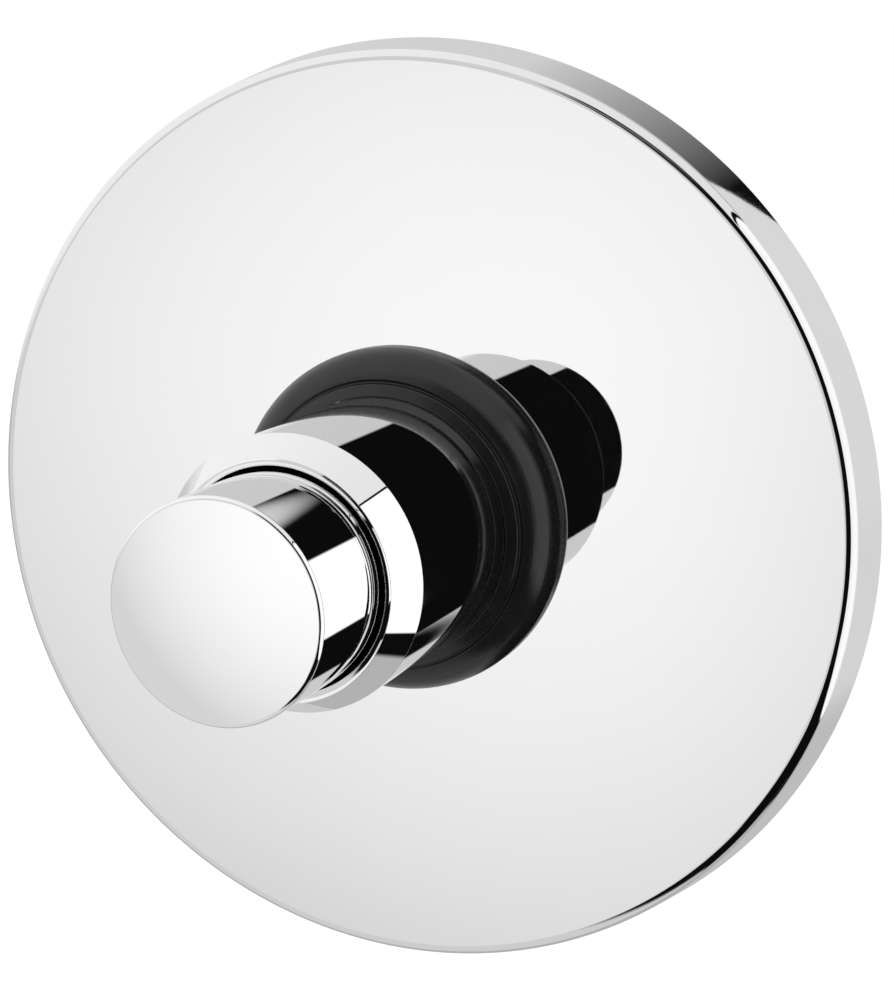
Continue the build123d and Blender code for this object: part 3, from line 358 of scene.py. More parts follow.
def make_floor():
    """Pale paper below the object. It keeps the shadow, and glows a little for the camera so that it looks white."""
    corners = [(FLOOR_HALF * x, FLOOR_HALF * y, FLOOR_HEIGHT) for x, y in ((-1, -1), (1, -1), (1, 1), (-1, 1))]
    mesh = bpy.data.meshes.new("floor")
    mesh.from_pydata(corners, [], [(0, 1, 2, 3)])
    floor = bpy.data.objects.new("floor", mesh)
    scene.collection.objects.link(floor)
    floor.visible_glossy = False
    material, g, place = new_material("floor_paper")
    grain = g.spread(g.noise(place, scale=4.0, detail=4.0), 0.3, 0.7, *FLOOR_SHADES)
    paper = g.add("ShaderNodeBsdfDiffuse", {"Color": grain})
    strength = g.product(g.add("ShaderNodeLightPath").outputs["Is Camera Ray"], FLOOR_GLOW)
    glow = g.add("ShaderNodeEmission", {"Color": WHITE, "Strength": strength})
    both = g.add("ShaderNodeAddShader", {0: paper.outputs[0], 1: glow.outputs[0]})
    g.add("ShaderNodeOutputMaterial", {"Surface": both.outputs[0]})
    mesh.materials.append(material)


KEY_PLACE, KEY_SIZE, KEY_ENERGY = (-1.6, -2.2, 2.4), 1.8, 42.0
RING_LAMP_PLACE, RING_LAMP_AWAY = (0.90, 0.44, -0.02), (0.90, 0.44, 0.0)
RING_LAMP_SIZE, RING_LAMP_ENERGY = (0.60, 2.1), 50.0


def make_lamp(name, place, away, shape, size, energy):
    """An area lamp that no camera sees, with its back to the direction away."""
    data = bpy.data.lights.new(name, "AREA")
    data.shape = shape
    data.size, data.size_y = size
    data.energy = energy
    lamp = bpy.data.objects.new(name, data)
    scene.collection.objects.link(lamp)
    lamp.matrix_world = Matrix.Translation(place) @ Vector(away).to_track_quat("Z", "Y").to_matrix().to_4x4()
    lamp.visible_camera = False
    return lamp


def make_key_lamp():
    """A round lamp at the front left and above. Mirrors don't see it."""
    lamp = make_lamp("key_lamp", KEY_PLACE, KEY_PLACE, "DISK", (KEY_SIZE, KEY_SIZE), KEY_ENERGY)
    lamp.visible_glossy = False


def make_ring_lamp(ring):
    """A tall strip lamp at the right that gives the rubber ring its soft highlight, and lights nothing else."""
    lamp = make_lamp("ring_lamp", RING_LAMP_PLACE, RING_LAMP_AWAY, "RECTANGLE", RING_LAMP_SIZE, RING_LAMP_ENERGY)
    lit = bpy.data.collections.new("ring_lit")
    lit.objects.link(ring)
    lamp.light_linking.receiver_collection = lit


# The fitted camera: its direction and roll in degrees, its place in plate radii, and its lens in millimetres
CAMERA_AZIMUTH, CAMERA_ELEVATION, CAMERA_ROLL = 22.9, 11.5, -2.1
CAMERA_BACK, CAMERA_RIGHT, CAMERA_UP = 5.26, 0.0457, 0.0109
CAMERA_SENSOR, CAMERA_LENS = 36.0, 87.07
PLATE_RADIUS = 90.0


def make_camera():
    """The photograph looks at the plate from the right and from above, slightly rolled."""
    azimuth, elevation, roll = (math.radians(angle) for angle in (CAMERA_AZIMUTH, CAMERA_ELEVATION, CAMERA_ROLL))
    back = Vector((math.sin(azimuth) * math.cos(elevation), -math.cos(azimuth) * math.cos(elevation),
                   math.sin(elevation)))
    level = Vector((math.cos(azimuth), math.sin(azimuth), 0.0))
    upright = back.cross(level)
    right = math.cos(roll) * level + math.sin(roll) * upright
    up = math.cos(roll) * upright - math.sin(roll) * level
    data = bpy.data.cameras.new("camera")
    data.sensor_width = CAMERA_SENSOR
    data.lens = CAMERA_LENS
    camera = bpy.data.objects.new("camera", data)
    scene.collection.objects.link(camera)
    place = PLATE_RADIUS * MM * (CAMERA_BACK * back + CAMERA_RIGHT * right + CAMERA_UP * up)
    camera.matrix_world = Matrix.Translation(place) @ Matrix((right, up, back)).transposed().to_4x4()
    scene.camera = camera


# ----------------------------------------------------------------- materials

def principled(g, colour, roughness, normal, **inputs):
    shader = g.add("ShaderNodeBsdfPrincipled", {"Base Color": colour, "Roughness": roughness, "Normal": normal,
                                                **inputs})
    g.add("ShaderNodeOutputMaterial", {"Surface": shader.outputs[0]})


# Wall plate's section in millimetres: faces of its front along Y, radii of its wall, and the wall's draft
PLATE_FRONT, PLATE_FRONT_INSIDE, PLATE_HOLE = -12.7, -11.5, 28.5
PLATE_FRONT_RADIUS, PLATE_INSIDE_RADIUS, PLATE_FRONT_INSIDE_RADIUS = 88.0, 88.8, 86.7
PLATE_ROUND, PLATE_INSIDE_ROUND, PLATE_RIM_ROUND, PLATE_HOLE_ROUND = 2.25, 1.05, 0.15, 0.2
PLATE_DRAFT = 0.1575
PLATE_HALF_THICKNESS = 0.6
PLATE_ROUND_CENTRE = (85.95, -10.45)
SATIN_EDGE = 0.05

SATIN_GLOSS, SATIN_COLOUR = (0.30, 0.42), (0.60, 0.60, 0.59)
WIPED_GLOSS, SMEAR_GLOSS = (0.006, 0.018), 0.010
SMEAR_SHADE = (0.015, 0.013, 0.008)


def dish_inside(g, place):
    """1 on the inner faces of the wall plate: behind its front, inside its wall and inside its rounded edge."""
    x, y, z = g.split(place)
    radius = g.hypotenuse(x, z)
    soft = SATIN_EDGE * MM
    behind = g.over(y, (PLATE_FRONT + PLATE_HALF_THICKNESS) * MM, soft)
    within = g.under(g.total(radius, g.product(y, -PLATE_DRAFT)), (PLATE_RADIUS - PLATE_HALF_THICKNESS) * MM, soft)
    out, down = (g.total(along, -centre * MM) for along, centre in zip((radius, y), PLATE_ROUND_CENTRE))
    corner = g.product(g.over(out, 0.0, soft), g.under(down, 0.0, soft))
    inside_corner = g.under(g.hypotenuse(out, down), (PLATE_INSIDE_ROUND + PLATE_HALF_THICKNESS) * MM, soft)
    return g.blend(corner, g.product(behind, within), inside_corner)


def chrome(name, shade, unpolished=None):
    """Polished chrome: near mirror, with faint wiping marks and a slightly uneven gloss, and satin where unpolished."""
    material, g, place = new_material(name)
    wiped = g.noise(g.scaled(place, (1.0, 1.0, 5.0)), scale=90.0, detail=4.0, roughness=0.6, distortion=0.6)
    smear = g.noise(place, scale=18.0, detail=3.0)
    gloss = g.total(g.spread(wiped, 0.35, 0.75, *WIPED_GLOSS), g.spread(smear, 0.4, 0.7, 0.0, SMEAR_GLOSS))
    scratch = g.noise(g.scaled(place, (1.0, 1.0, 3.0)), scale=500.0, detail=2.0, roughness=0.6, distortion=0.3)
    tone = g.tint(g.spread(smear, 0.35, 0.75), rgb(shade, shade, shade), rgb(*(shade - less for less in SMEAR_SHADE)))
    if unpolished:
        raw = unpolished(g, place)
        grain = g.noise(place, scale=700.0, detail=4.0, roughness=0.6)
        gloss = g.blend(raw, gloss, g.spread(grain, 0.3, 0.7, *SATIN_GLOSS))
        tone = g.tint(raw, tone, rgb(*SATIN_COLOUR))
    principled(g, tone, gloss, g.bump(scratch, strength=0.002, distance=0.1 * MM), Metallic=1.0)
    return material


TOOL_LEAN = 0.83
STAIN_GLOSS, RING_GLOSS, WORN_GLOSS = 0.10, 0.02, -0.08
TURNED_WEAR, TURNED_WORN_BRIGHTER = 0.5, 1.18


def turned(name, light, deep, gloss, pitch, centre):
    """Lathe-turned metal: fine rings about the tool's axis, on faces and round the sides alike."""
    material, g, place = new_material(name)
    edge = g.bevel(0.25 * MM)
    x, y, z = g.split(g.moved(place, (-centre[0], 0.0, -centre[1])))
    wander = g.product(g.noise(place, scale=260.0, detail=2.0), 0.5 * pitch * MM)
    travel = g.total(g.hypotenuse(x, z), g.product(y, TOOL_LEAN), wander)
    rings = g.math("SINE", g.product(travel, TURN / (pitch * MM)))
    uneven = g.noise(place, scale=420.0, detail=5.0, roughness=0.62)
    marks = g.total(g.product(rings, 0.35), g.product(uneven, 0.5))
    worn = g.product(g.at_edges(edge, 0.995, 0.90), g.spread(uneven, 0.35, 0.6, 0.3, 1.0), TURNED_WEAR)
    stain = g.spread(g.noise(place, scale=55.0, detail=4.0, roughness=0.6), 0.38, 0.68)
    tone = g.tint(stain, rgb(*light), rgb(*deep))
    tone = g.tint(worn, tone, brighter(light, TURNED_WORN_BRIGHTER))
    rough = g.total(g.spread(stain, 0.0, 1.0, gloss, gloss + STAIN_GLOSS), g.product(rings, RING_GLOSS),
                    g.product(worn, WORN_GLOSS))
    principled(g, tone, rough, g.bump(marks, strength=0.10, distance=0.2 * MM, Normal=edge), Metallic=1.0)
    return material


# Faces of the casting that are machined, in millimetres: its front along Y, its inlet and its outlet along Z
CAST_FRONT, CAST_INLET, CAST_OUTLET = 8.3, 69.6, -55.0
FACED_EDGE = 0.05
FACED_PITCH, FACED_DEPTH = 0.45, 0.12
CAST_GLOSS, FACED_GLOSS, CAST_WORN_GLOSS = (0.34, 0.50), 0.24, 0.22
FACED_BRIGHT, CAST_WORN_BRIGHTER = 0.8, 1.16


def cast(name, light, deep):
    """Sand-cast and tumbled brass: pebbly skin, rounded edges, stained in patches, machined where it is faced."""
    material, g, place = new_material(name)
    edge = g.bevel(0.7 * MM, samples=6)
    pebble = g.noise(place, scale=900.0, detail=3.0, roughness=0.55)
    swell = g.noise(place, scale=140.0, detail=3.0, roughness=0.5)
    pits = g.add("ShaderNodeTexVoronoi", {"Vector": place, "Scale": 520.0, "Randomness": 1.0}).outputs["Distance"]
    pits = g.spread(pits, 0.0, 0.16, smooth=True)
    x, y, z = g.split(place)
    soft = FACED_EDGE * MM
    faced = g.largest(g.under(y, CAST_FRONT * MM, soft), g.over(z, CAST_INLET * MM, soft),
                      g.under(z, CAST_OUTLET * MM, soft))
    skin = g.total(g.product(pebble, 0.8), g.product(swell, 1.4), g.product(pits, 0.25))
    travel = g.total(x, g.product(z, 0.6), g.product(y, 0.4))
    tooled = g.product(g.math("SINE", g.product(travel, TURN / (FACED_PITCH * MM))), FACED_DEPTH)
    worn = g.product(g.at_edges(edge, 0.99, 0.85), g.spread(pebble, 0.4, 0.6, 0.35, 1.0))
    patch = g.spread(g.noise(place, scale=38.0, detail=5.0, roughness=0.62), 0.36, 0.66)
    tone = g.tint(patch, rgb(*light), rgb(*deep))
    tone = g.tint(g.largest(worn, g.product(faced, FACED_BRIGHT)), tone, brighter(light, CAST_WORN_BRIGHTER))
    rough = g.blend(faced, g.spread(pebble, 0.3, 0.7, *CAST_GLOSS), FACED_GLOSS)
    rough = g.blend(worn, rough, CAST_WORN_GLOSS)
    height = g.blend(faced, skin, tooled)
    principled(g, tone, rough, g.bump(height, strength=0.32, distance=0.4 * MM, Normal=edge), Metallic=1.0)
    return material


GRAIN_GLOSS, DUST_GLOSS = 0.06, 0.05


def moulded(name, colour, dusty_colour, gloss, grain, relief):
    """Moulded rubber or plastic: fine eroded grain, slight flow marks that hold dust, and softened edges."""
    material, g, place = new_material(name)
    edge = g.bevel(0.2 * MM)
    fine = g.noise(place, scale=grain, detail=3.0, roughness=0.6)
    flow = g.noise(g.scaled(place, (1.0, 3.0, 1.0)), scale=60.0, detail=3.0, distortion=0.8)
    dust = g.spread(flow, 0.42, 0.72)
    tone = g.tint(g.product(dust, g.spread(fine, 0.35, 0.65, 0.5, 1.0)), rgb(*colour), rgb(*dusty_colour))
    rough = g.total(g.spread(fine, 0.3, 0.7, gloss - GRAIN_GLOSS, gloss + GRAIN_GLOSS), g.product(dust, DUST_GLOSS))
    principled(g, tone, rough, g.bump(fine, strength=relief, distance=0.1 * MM, Normal=edge))
    return material


WIRE_BLUE = 0.02
OXIDE = (0.82, 0.78, 0.74)
WIRE_GLOSS = (0.20, 0.34)


def wire(name, shade):
    """Drawn spring wire: fine die marks and a thin oxide tint."""
    material, g, place = new_material(name)
    drawn = g.noise(g.scaled(place, (1.0, 8.0, 1.0)), scale=500.0, detail=4.0, roughness=0.6)
    oxide = g.spread(g.noise(place, scale=120.0, detail=3.0), 0.35, 0.7)
    tone = g.tint(oxide, rgb(shade, shade, shade + WIRE_BLUE), rgb(*(share * shade for share in OXIDE)))
    principled(g, tone, g.spread(drawn, 0.3, 0.7, *WIRE_GLOSS), g.bump(drawn, strength=0.15, distance=0.1 * MM),
               Metallic=1.0)
    return material


# -------------------------------------------------------------------- shapes

ROUND_STEPS = 10
AROUND = 256
TOUCHING = 1e-6
KEY_DIGITS = 3


def outward(start, end):
    """The normal of a straight run that has the material on its left."""
    along = (end - start).normalized()
    return Vector((along.y, -along.x))


def straight(start, end):
    normal = outward(start, end)
    return [(start, normal), (end, normal)]


def rounded(corners):
    """A closed profile from corners (radius, place, rounding): straight runs, and an arc at each rounded corner.
    Returns runs of (point, normal) pairs; the corners go round with the material on their left, seen with
    the radius to the right and the place upwards."""
    count = len(corners)
    cut = []
    for i, (r, y, radius) in enumerate(corners):
        here = Vector((r, y))
        back = (Vector(corners[i - 1][:2]) - here).normalized()
        ahead = (Vector(corners[(i + 1) % count][:2]) - here).normalized()
        if not radius:
            cut.append((here, here, None))
            continue
        half = back.angle(ahead) / 2
        reach = radius / math.tan(half)
        centre = here + (back + ahead).normalized() * radius / math.sin(half)
        cut.append((here + back * reach, here + ahead * reach, centre))
    runs = []
    for i in range(count):
        first, last, centre = cut[(i + 1) % count]
        start = cut[i][1]
        runs.append(straight(start, first))
        if centre is None:
            continue
        normal = outward(start, first)
        turn = normal.angle_signed(outward(last, cut[(i + 2) % count][0]))
        inward = 1 if (first - centre).dot(normal) > 0 else -1
        arc = []
        for step in range(ROUND_STEPS + 1):
            angle = -turn * step / ROUND_STEPS
            n = Vector((normal.x * math.cos(angle) - normal.y * math.sin(angle),
                        normal.x * math.sin(angle) + normal.y * math.cos(angle)))
            arc.append((centre + n * inward * (first - centre).length, n))
        runs.append(arc)
    return runs


def build(name, points, faces, normals, body, slot, material, *stands_for):
    """One piece from points in millimetres; normals, where given, are one per corner of each face."""
    mesh = bpy.data.meshes.new(name)
    mesh.from_pydata([Vector(p) * MM for p in points], [], faces)
    mesh.polygons.foreach_set("use_smooth", [True] * len(faces))
    if normals:
        mesh.normals_split_custom_set([n for face in normals for n in face])
    mesh.materials.append(material)
    piece = bpy.data.objects.new(name, mesh)
    scene.collection.objects.link(piece)
    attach(piece, body)
    if stands_for:
        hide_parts(*stands_for)
    return piece


def lathe(name, runs, body, slot, material, *stands_for, around=AROUND, shape=None, axis="Y", centre=(0.0, 0.0)):
    """Turns a closed profile about an axis, with the true normal of the profile at every corner.
    shape(angle, point) may move a point of the profile at an angle, as flats on a nut do; such a piece
    takes its normals from its faces."""
    points, faces, normals = [], [], []
    index = {}

    def place(r, y, angle):
        across, over = r * math.cos(angle), r * math.sin(angle)
        if axis == "Y":
            return (centre[0] + across, y, centre[1] + over)
        return (centre[0] + across, centre[1] + over, y)

    def ring(point):
        """Numbers of the points that a point of the profile makes, shared by the runs that meet in it."""
        key = (round(point.x, KEY_DIGITS), round(point.y, KEY_DIGITS))
        if key not in index:
            start = len(points)
            if abs(point.x) < TOUCHING and shape is None:
                points.append(place(0.0, point.y, 0.0))
                index[key] = [start] * around
            else:
                for i in range(around):
                    angle = TURN * i / around
                    p = shape(angle, point) if shape else point
                    points.append(place(p.x, p.y, angle))
                index[key] = list(range(start, start + around))
        return index[key]

    def facing(normal, angle):
        x, y, z = place(normal.x, normal.y, angle)
        if axis == "Y":
            return Vector((x - centre[0], y, z - centre[1]))
        return Vector((x - centre[0], y - centre[1], z))

    for run in runs:
        for (p, np), (q, nq) in zip(run, run[1:]):
            if (p - q).length < TOUCHING:
                continue
            low, high = ring(p), ring(q)
            for i in range(around):
                j = (i + 1) % around
                a, b = TURN * i / around, TURN * (i + 1) / around
                corners = [(low[i], np, a), (low[j], np, b), (high[j], nq, b), (high[i], nq, a)]
                if axis == "Y":
                    corners.reverse()
                kept = []
                for corner in corners:
                    if corner[0] not in [k[0] for k in kept]:
                        kept.append(corner)
                faces.append([k[0] for k in kept])
                normals.append([facing(k[1], k[2]) for k in kept])
    return build(name, points, faces, None if shape else normals, body, slot, material, *stands_for)


WIRE_SIDES = 14
END_DOME = 0.25


def tube(path, wire_radius):
    """Points and faces of a round wire along a path of points, closed at both ends by shallow domes."""
    points, faces, rings = [], [], []
    count = len(path)
    for i, centre in enumerate(path):
        along = (path[min(i + 1, count - 1)] - path[max(i - 1, 0)]).normalized()
        level = along.cross(Vector((0.0, 1.0, 0.0))).normalized()
        upright = along.cross(level)
        start = len(points)
        for k in range(WIRE_SIDES):
            angle = TURN * k / WIRE_SIDES
            points.append(centre + wire_radius * (math.cos(angle) * level + math.sin(angle) * upright))
        rings.append(range(start, start + WIRE_SIDES))
    for low, high in zip(rings, rings[1:]):
        for k in range(WIRE_SIDES):
            j = (k + 1) % WIRE_SIDES
            faces.append((low[k], low[j], high[j], high[k]))
    for ring, tip, nearer in ((rings[0], path[0], path[1]), (rings[-1], path[-1], path[-2])):
        points.append(tip + (tip - nearer).normalized() * END_DOME * wire_radius)
        for k in range(WIRE_SIDES):
            j = (k + 1) % WIRE_SIDES
            face = (ring[j], ring[k], len(points) - 1)
            faces.append(face if ring is rings[0] else face[::-1])
    return points, faces


def span_along_y(node):
    """Front and rear of a node along Y, in millimetres."""
    low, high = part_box(node)
    return low.y / MM, high.y / MM


COIL_STEPS = 40
CLOSED_TURNS = 0.8
CLOSED_PITCH = 2.05


def coil(node, radius, wire_radius, turns, body):
    """A compression spring with closed ends, from the front to the rear of the node that it stands for."""
    front, rear = span_along_y(node)
    low, high = front + wire_radius, rear - wire_radius
    close = CLOSED_PITCH * wire_radius * CLOSED_TURNS
    path = []
    for i in range(int(turns * COIL_STEPS) + 1):
        turn = i / COIL_STEPS
        if turn < CLOSED_TURNS:
            y = low + close * turn / CLOSED_TURNS
        elif turn > turns - CLOSED_TURNS:
            y = high - close * (turns - turn) / CLOSED_TURNS
        else:
            share = (turn - CLOSED_TURNS) / (turns - 2 * CLOSED_TURNS)
            y = low + close + (high - low - 2 * close) * share
        path.append(Vector((radius * math.cos(TURN * turn), y, radius * math.sin(TURN * turn))))
    points, faces = tube(path, wire_radius)
    piece = build(f"{node}_coil", points, faces, None, body, "spring_steel", spring_wire, node)
    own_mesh(piece)


# ------------------------------------------------------------------ finishes

# Clean and stained colours, and the axes along Y that turned pieces stand on, as X and Z in metres
STEEL = ((0.66, 0.66, 0.67), (0.58, 0.58, 0.59))
BRASS = ((0.80, 0.62, 0.32), (0.70, 0.50, 0.23))
CAST_BRASS = ((0.70, 0.53, 0.27), (0.56, 0.40, 0.18))
BUTTON_AXIS, STOP_AXIS = (0.0, 0.0), (0.0, 0.042)

plate_finish = chrome("plate_chrome_finish", 0.89, unpolished=dish_inside)
sleeve_finish = chrome("sleeve_chrome_finish", 0.93)
button_finish = chrome("button_chrome_finish", 0.96)
nut_finish = turned("nut_chrome_finish", *STEEL, gloss=0.16, pitch=0.22, centre=STOP_AXIS)
spindle_finish = turned("spindle_finish", *STEEL, gloss=0.20, pitch=0.18, centre=STOP_AXIS)
steel_finish = turned("stainless_finish", *STEEL, gloss=0.20, pitch=0.18, centre=BUTTON_AXIS)
brass_finish = turned("turned_brass_finish", *BRASS, gloss=0.20, pitch=0.24, centre=BUTTON_AXIS)
stop_brass = turned("stop_brass_finish", *BRASS, gloss=0.20, pitch=0.24, centre=STOP_AXIS)
cast_finish = cast("cast_brass_finish", *CAST_BRASS)
rubber = moulded("black_rubber_finish", (0.008, 0.008, 0.009), (0.014, 0.014, 0.015), gloss=0.21, grain=2600.0,
                 relief=0.12)
black_plastic = moulded("black_plastic_finish", (0.032, 0.032, 0.034), (0.050, 0.050, 0.054), gloss=0.38,
                        grain=1500.0, relief=0.20)
white_plastic = moulded("white_plastic_finish", (0.80, 0.80, 0.77), (0.72, 0.71, 0.67), gloss=0.40, grain=1500.0,
                        relief=0.15)
spring_wire = wire("spring_wire_finish", 0.60)

SLOT_FINISH = {
    "plate_chrome": plate_finish, "sleeve_chrome": sleeve_finish, "button_chrome": button_finish,
    "nut_chrome": nut_finish, "black_rubber": rubber, "black_plastic": black_plastic,
    "white_plastic": white_plastic, "turned_brass": brass_finish, "cast_brass": cast_finish,
    "stainless": steel_finish, "spring_steel": spring_wire,
}
OFF_AXIS_FINISH = {"stop_gland": nut_finish, "stop_spindle": spindle_finish, "stop_plug": stop_brass,
                   "stop_screw": spindle_finish}


def dress_nodes():
    """Each node gets the finish of its own material slot in the record, or the one that is centred on its axis."""
    for name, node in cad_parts.items():
        old = [m.name for m in node.data.materials if m]
        slot = next((s for s in SLOT_FINISH for m in old if m.split(".")[0] == s), None)
        finish = OFF_AXIS_FINISH.get(name) or SLOT_FINISH.get(slot)
        if finish is None:
            raise ValueError(f"{name} has no finish for {old}")
        node.data.materials.clear()
        node.data.materials.append(finish)


# --------------------------------------------------------------- the pieces

# All sections are in millimetres: radii about the piece's axis, and places along it.
SLEEVE_RADIUS, SLEEVE_BORE, SLEEVE_REAR = 24.9, 23.3, 2.0
MOUTH_FRONT, MOUTH_REAR, MOUTH_RADIUS, MOUTH_BORE = -66.0, -60.0, 21.6, 19.9
MOUTH_ROUND = 1.4
BUSH_FRONT, BUSH_REAR, BUSH_BORE = -58.0, -44.0, 19.66
BUSH_LIP, BUSH_LIP_REAR = 19.96, -57.7
FINE_ROUND, EDGE_ROUND, MOUTH_INNER_ROUND = 0.1, 0.2, 0.3


def wall_plate():
    """A dish with a drafted wall, a rounded edge, and a flat front with a hole for the ring."""
    runs = rounded([
        (PLATE_INSIDE_RADIUS, 0.0, PLATE_RIM_ROUND),
        (PLATE_FRONT_INSIDE_RADIUS, PLATE_FRONT_INSIDE, PLATE_INSIDE_ROUND),
        (PLATE_HOLE, PLATE_FRONT_INSIDE, 0.0),
        (PLATE_HOLE, PLATE_FRONT, PLATE_HOLE_ROUND),
        (PLATE_FRONT_RADIUS, PLATE_FRONT, PLATE_ROUND),
        (PLATE_RADIUS, 0.0, PLATE_RIM_ROUND),
    ])
    lathe("wall_plate_shell", runs, "plate", "plate_chrome", plate_finish, "wall_plate")


def arc_through(start, middle, end, steps):
    """Points on the circle through three points, from the first to the last."""
    (ax, ay), (bx, by), (cx, cy) = start, middle, end
    d = 2 * (ax * (by - cy) + bx * (cy - ay) + cx * (ay - by))
    a2, b2, c2 = ax * ax + ay * ay, bx * bx + by * by, cx * cx + cy * cy
    ux = (a2 * (by - cy) + b2 * (cy - ay) + c2 * (ay - by)) / d
    uy = (a2 * (cx - bx) + b2 * (ax - cx) + c2 * (bx - ax)) / d
    radius = math.hypot(ax - ux, ay - uy)
    first, last = math.atan2(ay - uy, ax - ux), math.atan2(cy - uy, cx - ux)
    while last - first > math.pi:
        last -= TURN
    while last - first < -math.pi:
        last += TURN
    angles = [first + (last - first) * i / steps for i in range(steps + 1)]
    return [(ux + radius * math.cos(a), uy + radius * math.sin(a)) for a in angles]


RING_RADIUS, RING_FLANGE, RING_BORE, RING_LIP = 33.2, 31.0, 26.25, 24.95
RING_REAR, RING_FRONT, RING_LIP_REAR, RING_BORE_FRONT = -9.0, -21.7, -17.7, -16.4
RING_BULGE = ((RING_RADIUS, -13.9), (31.673, -17.952), (28.1, -20.4))
RING_NOSE = ((25.2, RING_FRONT, FINE_ROUND), (27.15, -20.85, 0.3), (27.3, -19.95, 0.25))
BULGE_STEPS = 14


def plate_ring():
    """A rubber ring: a bulging outside, a stepped front, a lip on the sleeve, and a groove for the plate's edge."""
    bulge = [(r, y, 0.0) for r, y in arc_through(*RING_BULGE, BULGE_STEPS)]
    runs = rounded([
        (PLATE_HOLE, PLATE_FRONT, 0.0), (PLATE_HOLE, PLATE_FRONT_INSIDE, 0.0),
        (RING_FLANGE, PLATE_FRONT_INSIDE, 0.0), (RING_FLANGE, RING_REAR, 0.3),
        (RING_BORE, RING_REAR, 0.0), (RING_BORE, RING_BORE_FRONT, 0.0),
        (RING_LIP, RING_LIP_REAR, 0.0), (RING_LIP, RING_FRONT, FINE_ROUND),
        *RING_NOSE, *reversed(bulge), (RING_RADIUS, PLATE_FRONT, 0.0),
    ])
    return lathe("plate_ring_moulding", runs, "plate", "black_rubber", rubber, "plate_ring")


def sleeve():
    """A tube with a bevelled mouth."""
    runs = rounded([
        (MOUTH_BORE, MOUTH_FRONT, MOUTH_ROUND), (MOUTH_RADIUS, MOUTH_FRONT, FINE_ROUND),
        (SLEEVE_RADIUS, MOUTH_REAR, EDGE_ROUND), (SLEEVE_RADIUS, SLEEVE_REAR, EDGE_ROUND),
        (SLEEVE_BORE, SLEEVE_REAR, EDGE_ROUND), (SLEEVE_BORE, BUSH_FRONT, 0.0),
        (MOUTH_BORE, BUSH_FRONT, MOUTH_INNER_ROUND),
    ])
    lathe("sleeve_tube", runs, "valve", "sleeve_chrome", sleeve_finish, "sleeve")


def guide_bush():
    runs = rounded([
        (BUSH_LIP, BUSH_FRONT, FINE_ROUND), (SLEEVE_BORE, BUSH_FRONT, 0.0), (SLEEVE_BORE, BUSH_REAR, EDGE_ROUND),
        (BUSH_BORE, BUSH_REAR, EDGE_ROUND), (BUSH_BORE, BUSH_LIP_REAR, FINE_ROUND),
    ])
    lathe("guide_bush_ring", runs, "valve", "black_plastic", black_plastic, "guide_bush")


BUTTON_RADIUS, BUTTON_BORE, BUTTON_ROUND, BUTTON_CHAMFER = 19.6, 18.0, 0.8, 0.2
BUTTON_FACE, BUTTON_FLOOR, BUTTON_REAR = -89.0, -86.9, -43.9
BUTTON_CROWN = 0.5
FACE_STEPS = 12


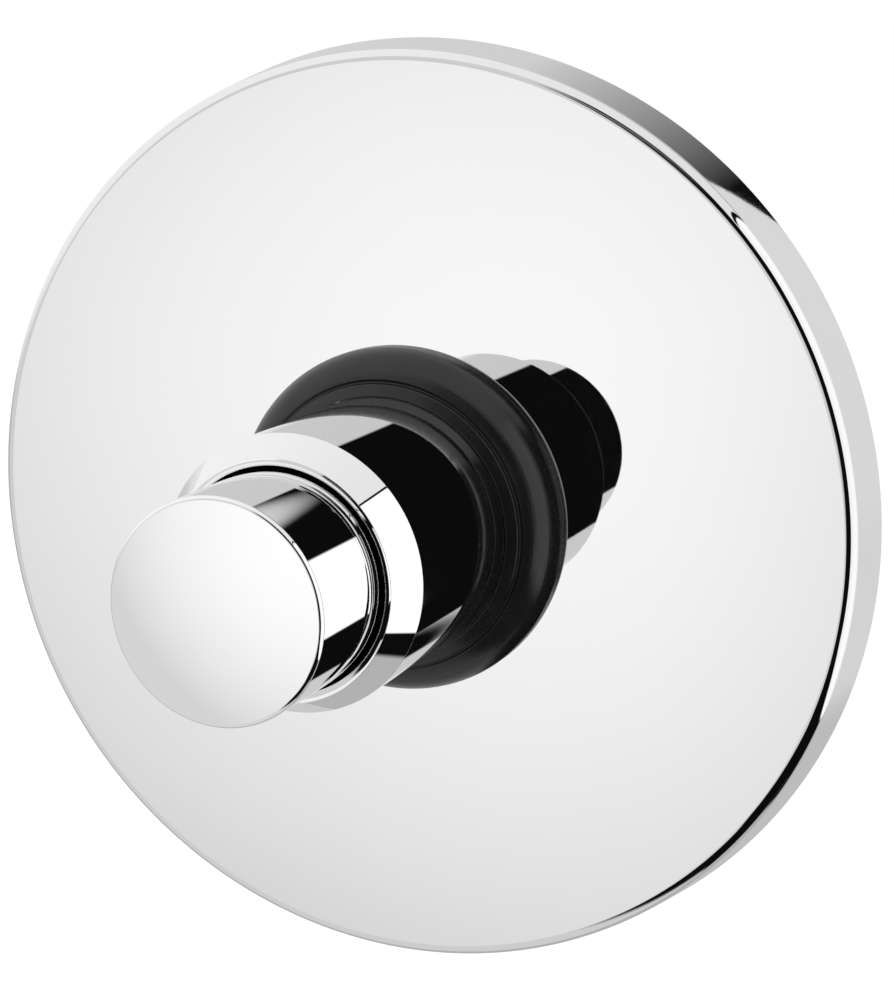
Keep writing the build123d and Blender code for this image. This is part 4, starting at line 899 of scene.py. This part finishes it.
def push_button():
    """A cap with a slightly domed face, a rounded edge and a chamfered rear."""
    curve = (BUTTON_RADIUS * BUTTON_RADIUS + BUTTON_CROWN * BUTTON_CROWN) / (2 * BUTTON_CROWN)
    dome = []
    for i in range(FACE_STEPS + 1):
        r = (BUTTON_RADIUS - BUTTON_ROUND) * i / FACE_STEPS
        point = Vector((r, BUTTON_FACE + curve - math.sqrt(curve * curve - r * r)))
        dome.append((point, Vector((r / curve, -math.sqrt(1 - (r / curve) ** 2)))))
    last, lean = dome[-1]
    edge_start = math.atan2(lean.y, lean.x)
    centre = last - lean * BUTTON_ROUND
    edge = []
    for i in range(ROUND_STEPS + 1):
        angle = edge_start - edge_start * i / ROUND_STEPS
        n = Vector((math.cos(angle), math.sin(angle)))
        edge.append((centre + n * BUTTON_ROUND, n))
    side = edge[-1][0]
    corners = [side, Vector((side.x, BUTTON_REAR - BUTTON_CHAMFER)), Vector((side.x - BUTTON_CHAMFER, BUTTON_REAR)),
               Vector((BUTTON_BORE, BUTTON_REAR)), Vector((BUTTON_BORE, BUTTON_FLOOR)), Vector((0.0, BUTTON_FLOOR))]
    runs = [dome, edge, *(straight(start, end) for start, end in zip(corners, corners[1:]))]
    lathe("push_button_cap", runs, "button", "button_chrome", button_finish, "push_button")


NUT_ACROSS, NUT_FACE, NUT_LOW, NUT_HIGH = 20.5, 19.7, -71.0, -56.0
NUT_HOLE, NUT_BORE, NUT_FLOOR = 14.4, 16.65, -69.0
NUT_AXIS = (0.0, 32.0)
NUT_AROUND = 72
NUT_SIDE = TURN / 6
NUT_SHARP = 25.0


def outlet_nut():
    """The union nut: its end faces are turned down to circles, which cuts the corners of the hexagon at 30 degrees."""

    def hexagon(angle, point):
        if point.x < NUT_ACROSS:
            return point
        corner = NUT_ACROSS / math.cos(angle % NUT_SIDE - NUT_SIDE / 2)
        cut = (corner - NUT_FACE) * math.tan(NUT_SIDE / 2)
        return Vector((corner, point.y + (cut if point.y < (NUT_LOW + NUT_HIGH) / 2 else -cut)))

    runs = rounded([
        (NUT_HOLE, NUT_LOW, 0.0), (NUT_FACE, NUT_LOW, 0.0), (NUT_ACROSS, NUT_LOW, 0.0), (NUT_ACROSS, NUT_HIGH, 0.0),
        (NUT_FACE, NUT_HIGH, 0.0), (NUT_BORE, NUT_HIGH, 0.3), (NUT_BORE, NUT_FLOOR, 0.0), (NUT_HOLE, NUT_FLOOR, 0.0),
    ])
    nut = lathe("outlet_union_nut", runs, "valve", "nut_chrome", nut_finish, "outlet_nut", around=NUT_AROUND,
                shape=hexagon, axis="Z", centre=NUT_AXIS)
    nut.data.set_sharp_from_angle(angle=math.radians(NUT_SHARP))


def springs():
    coil("button_spring", radius=12.5, wire_radius=0.7, turns=8.5, body="valve")
    coil("closing_spring", radius=8.2, wire_radius=0.5, turns=4.5, body="valve")
    coil("pilot_spring", radius=2.6, wire_radius=0.2, turns=3.5, body="piston")


make_camera()
make_world()
make_floor()
make_key_lamp()
dress_nodes()
wall_plate()
make_ring_lamp(plate_ring())
sleeve()
guide_bush()
push_button()
outlet_nut()
springs()

scene.view_settings.view_transform = "Standard"
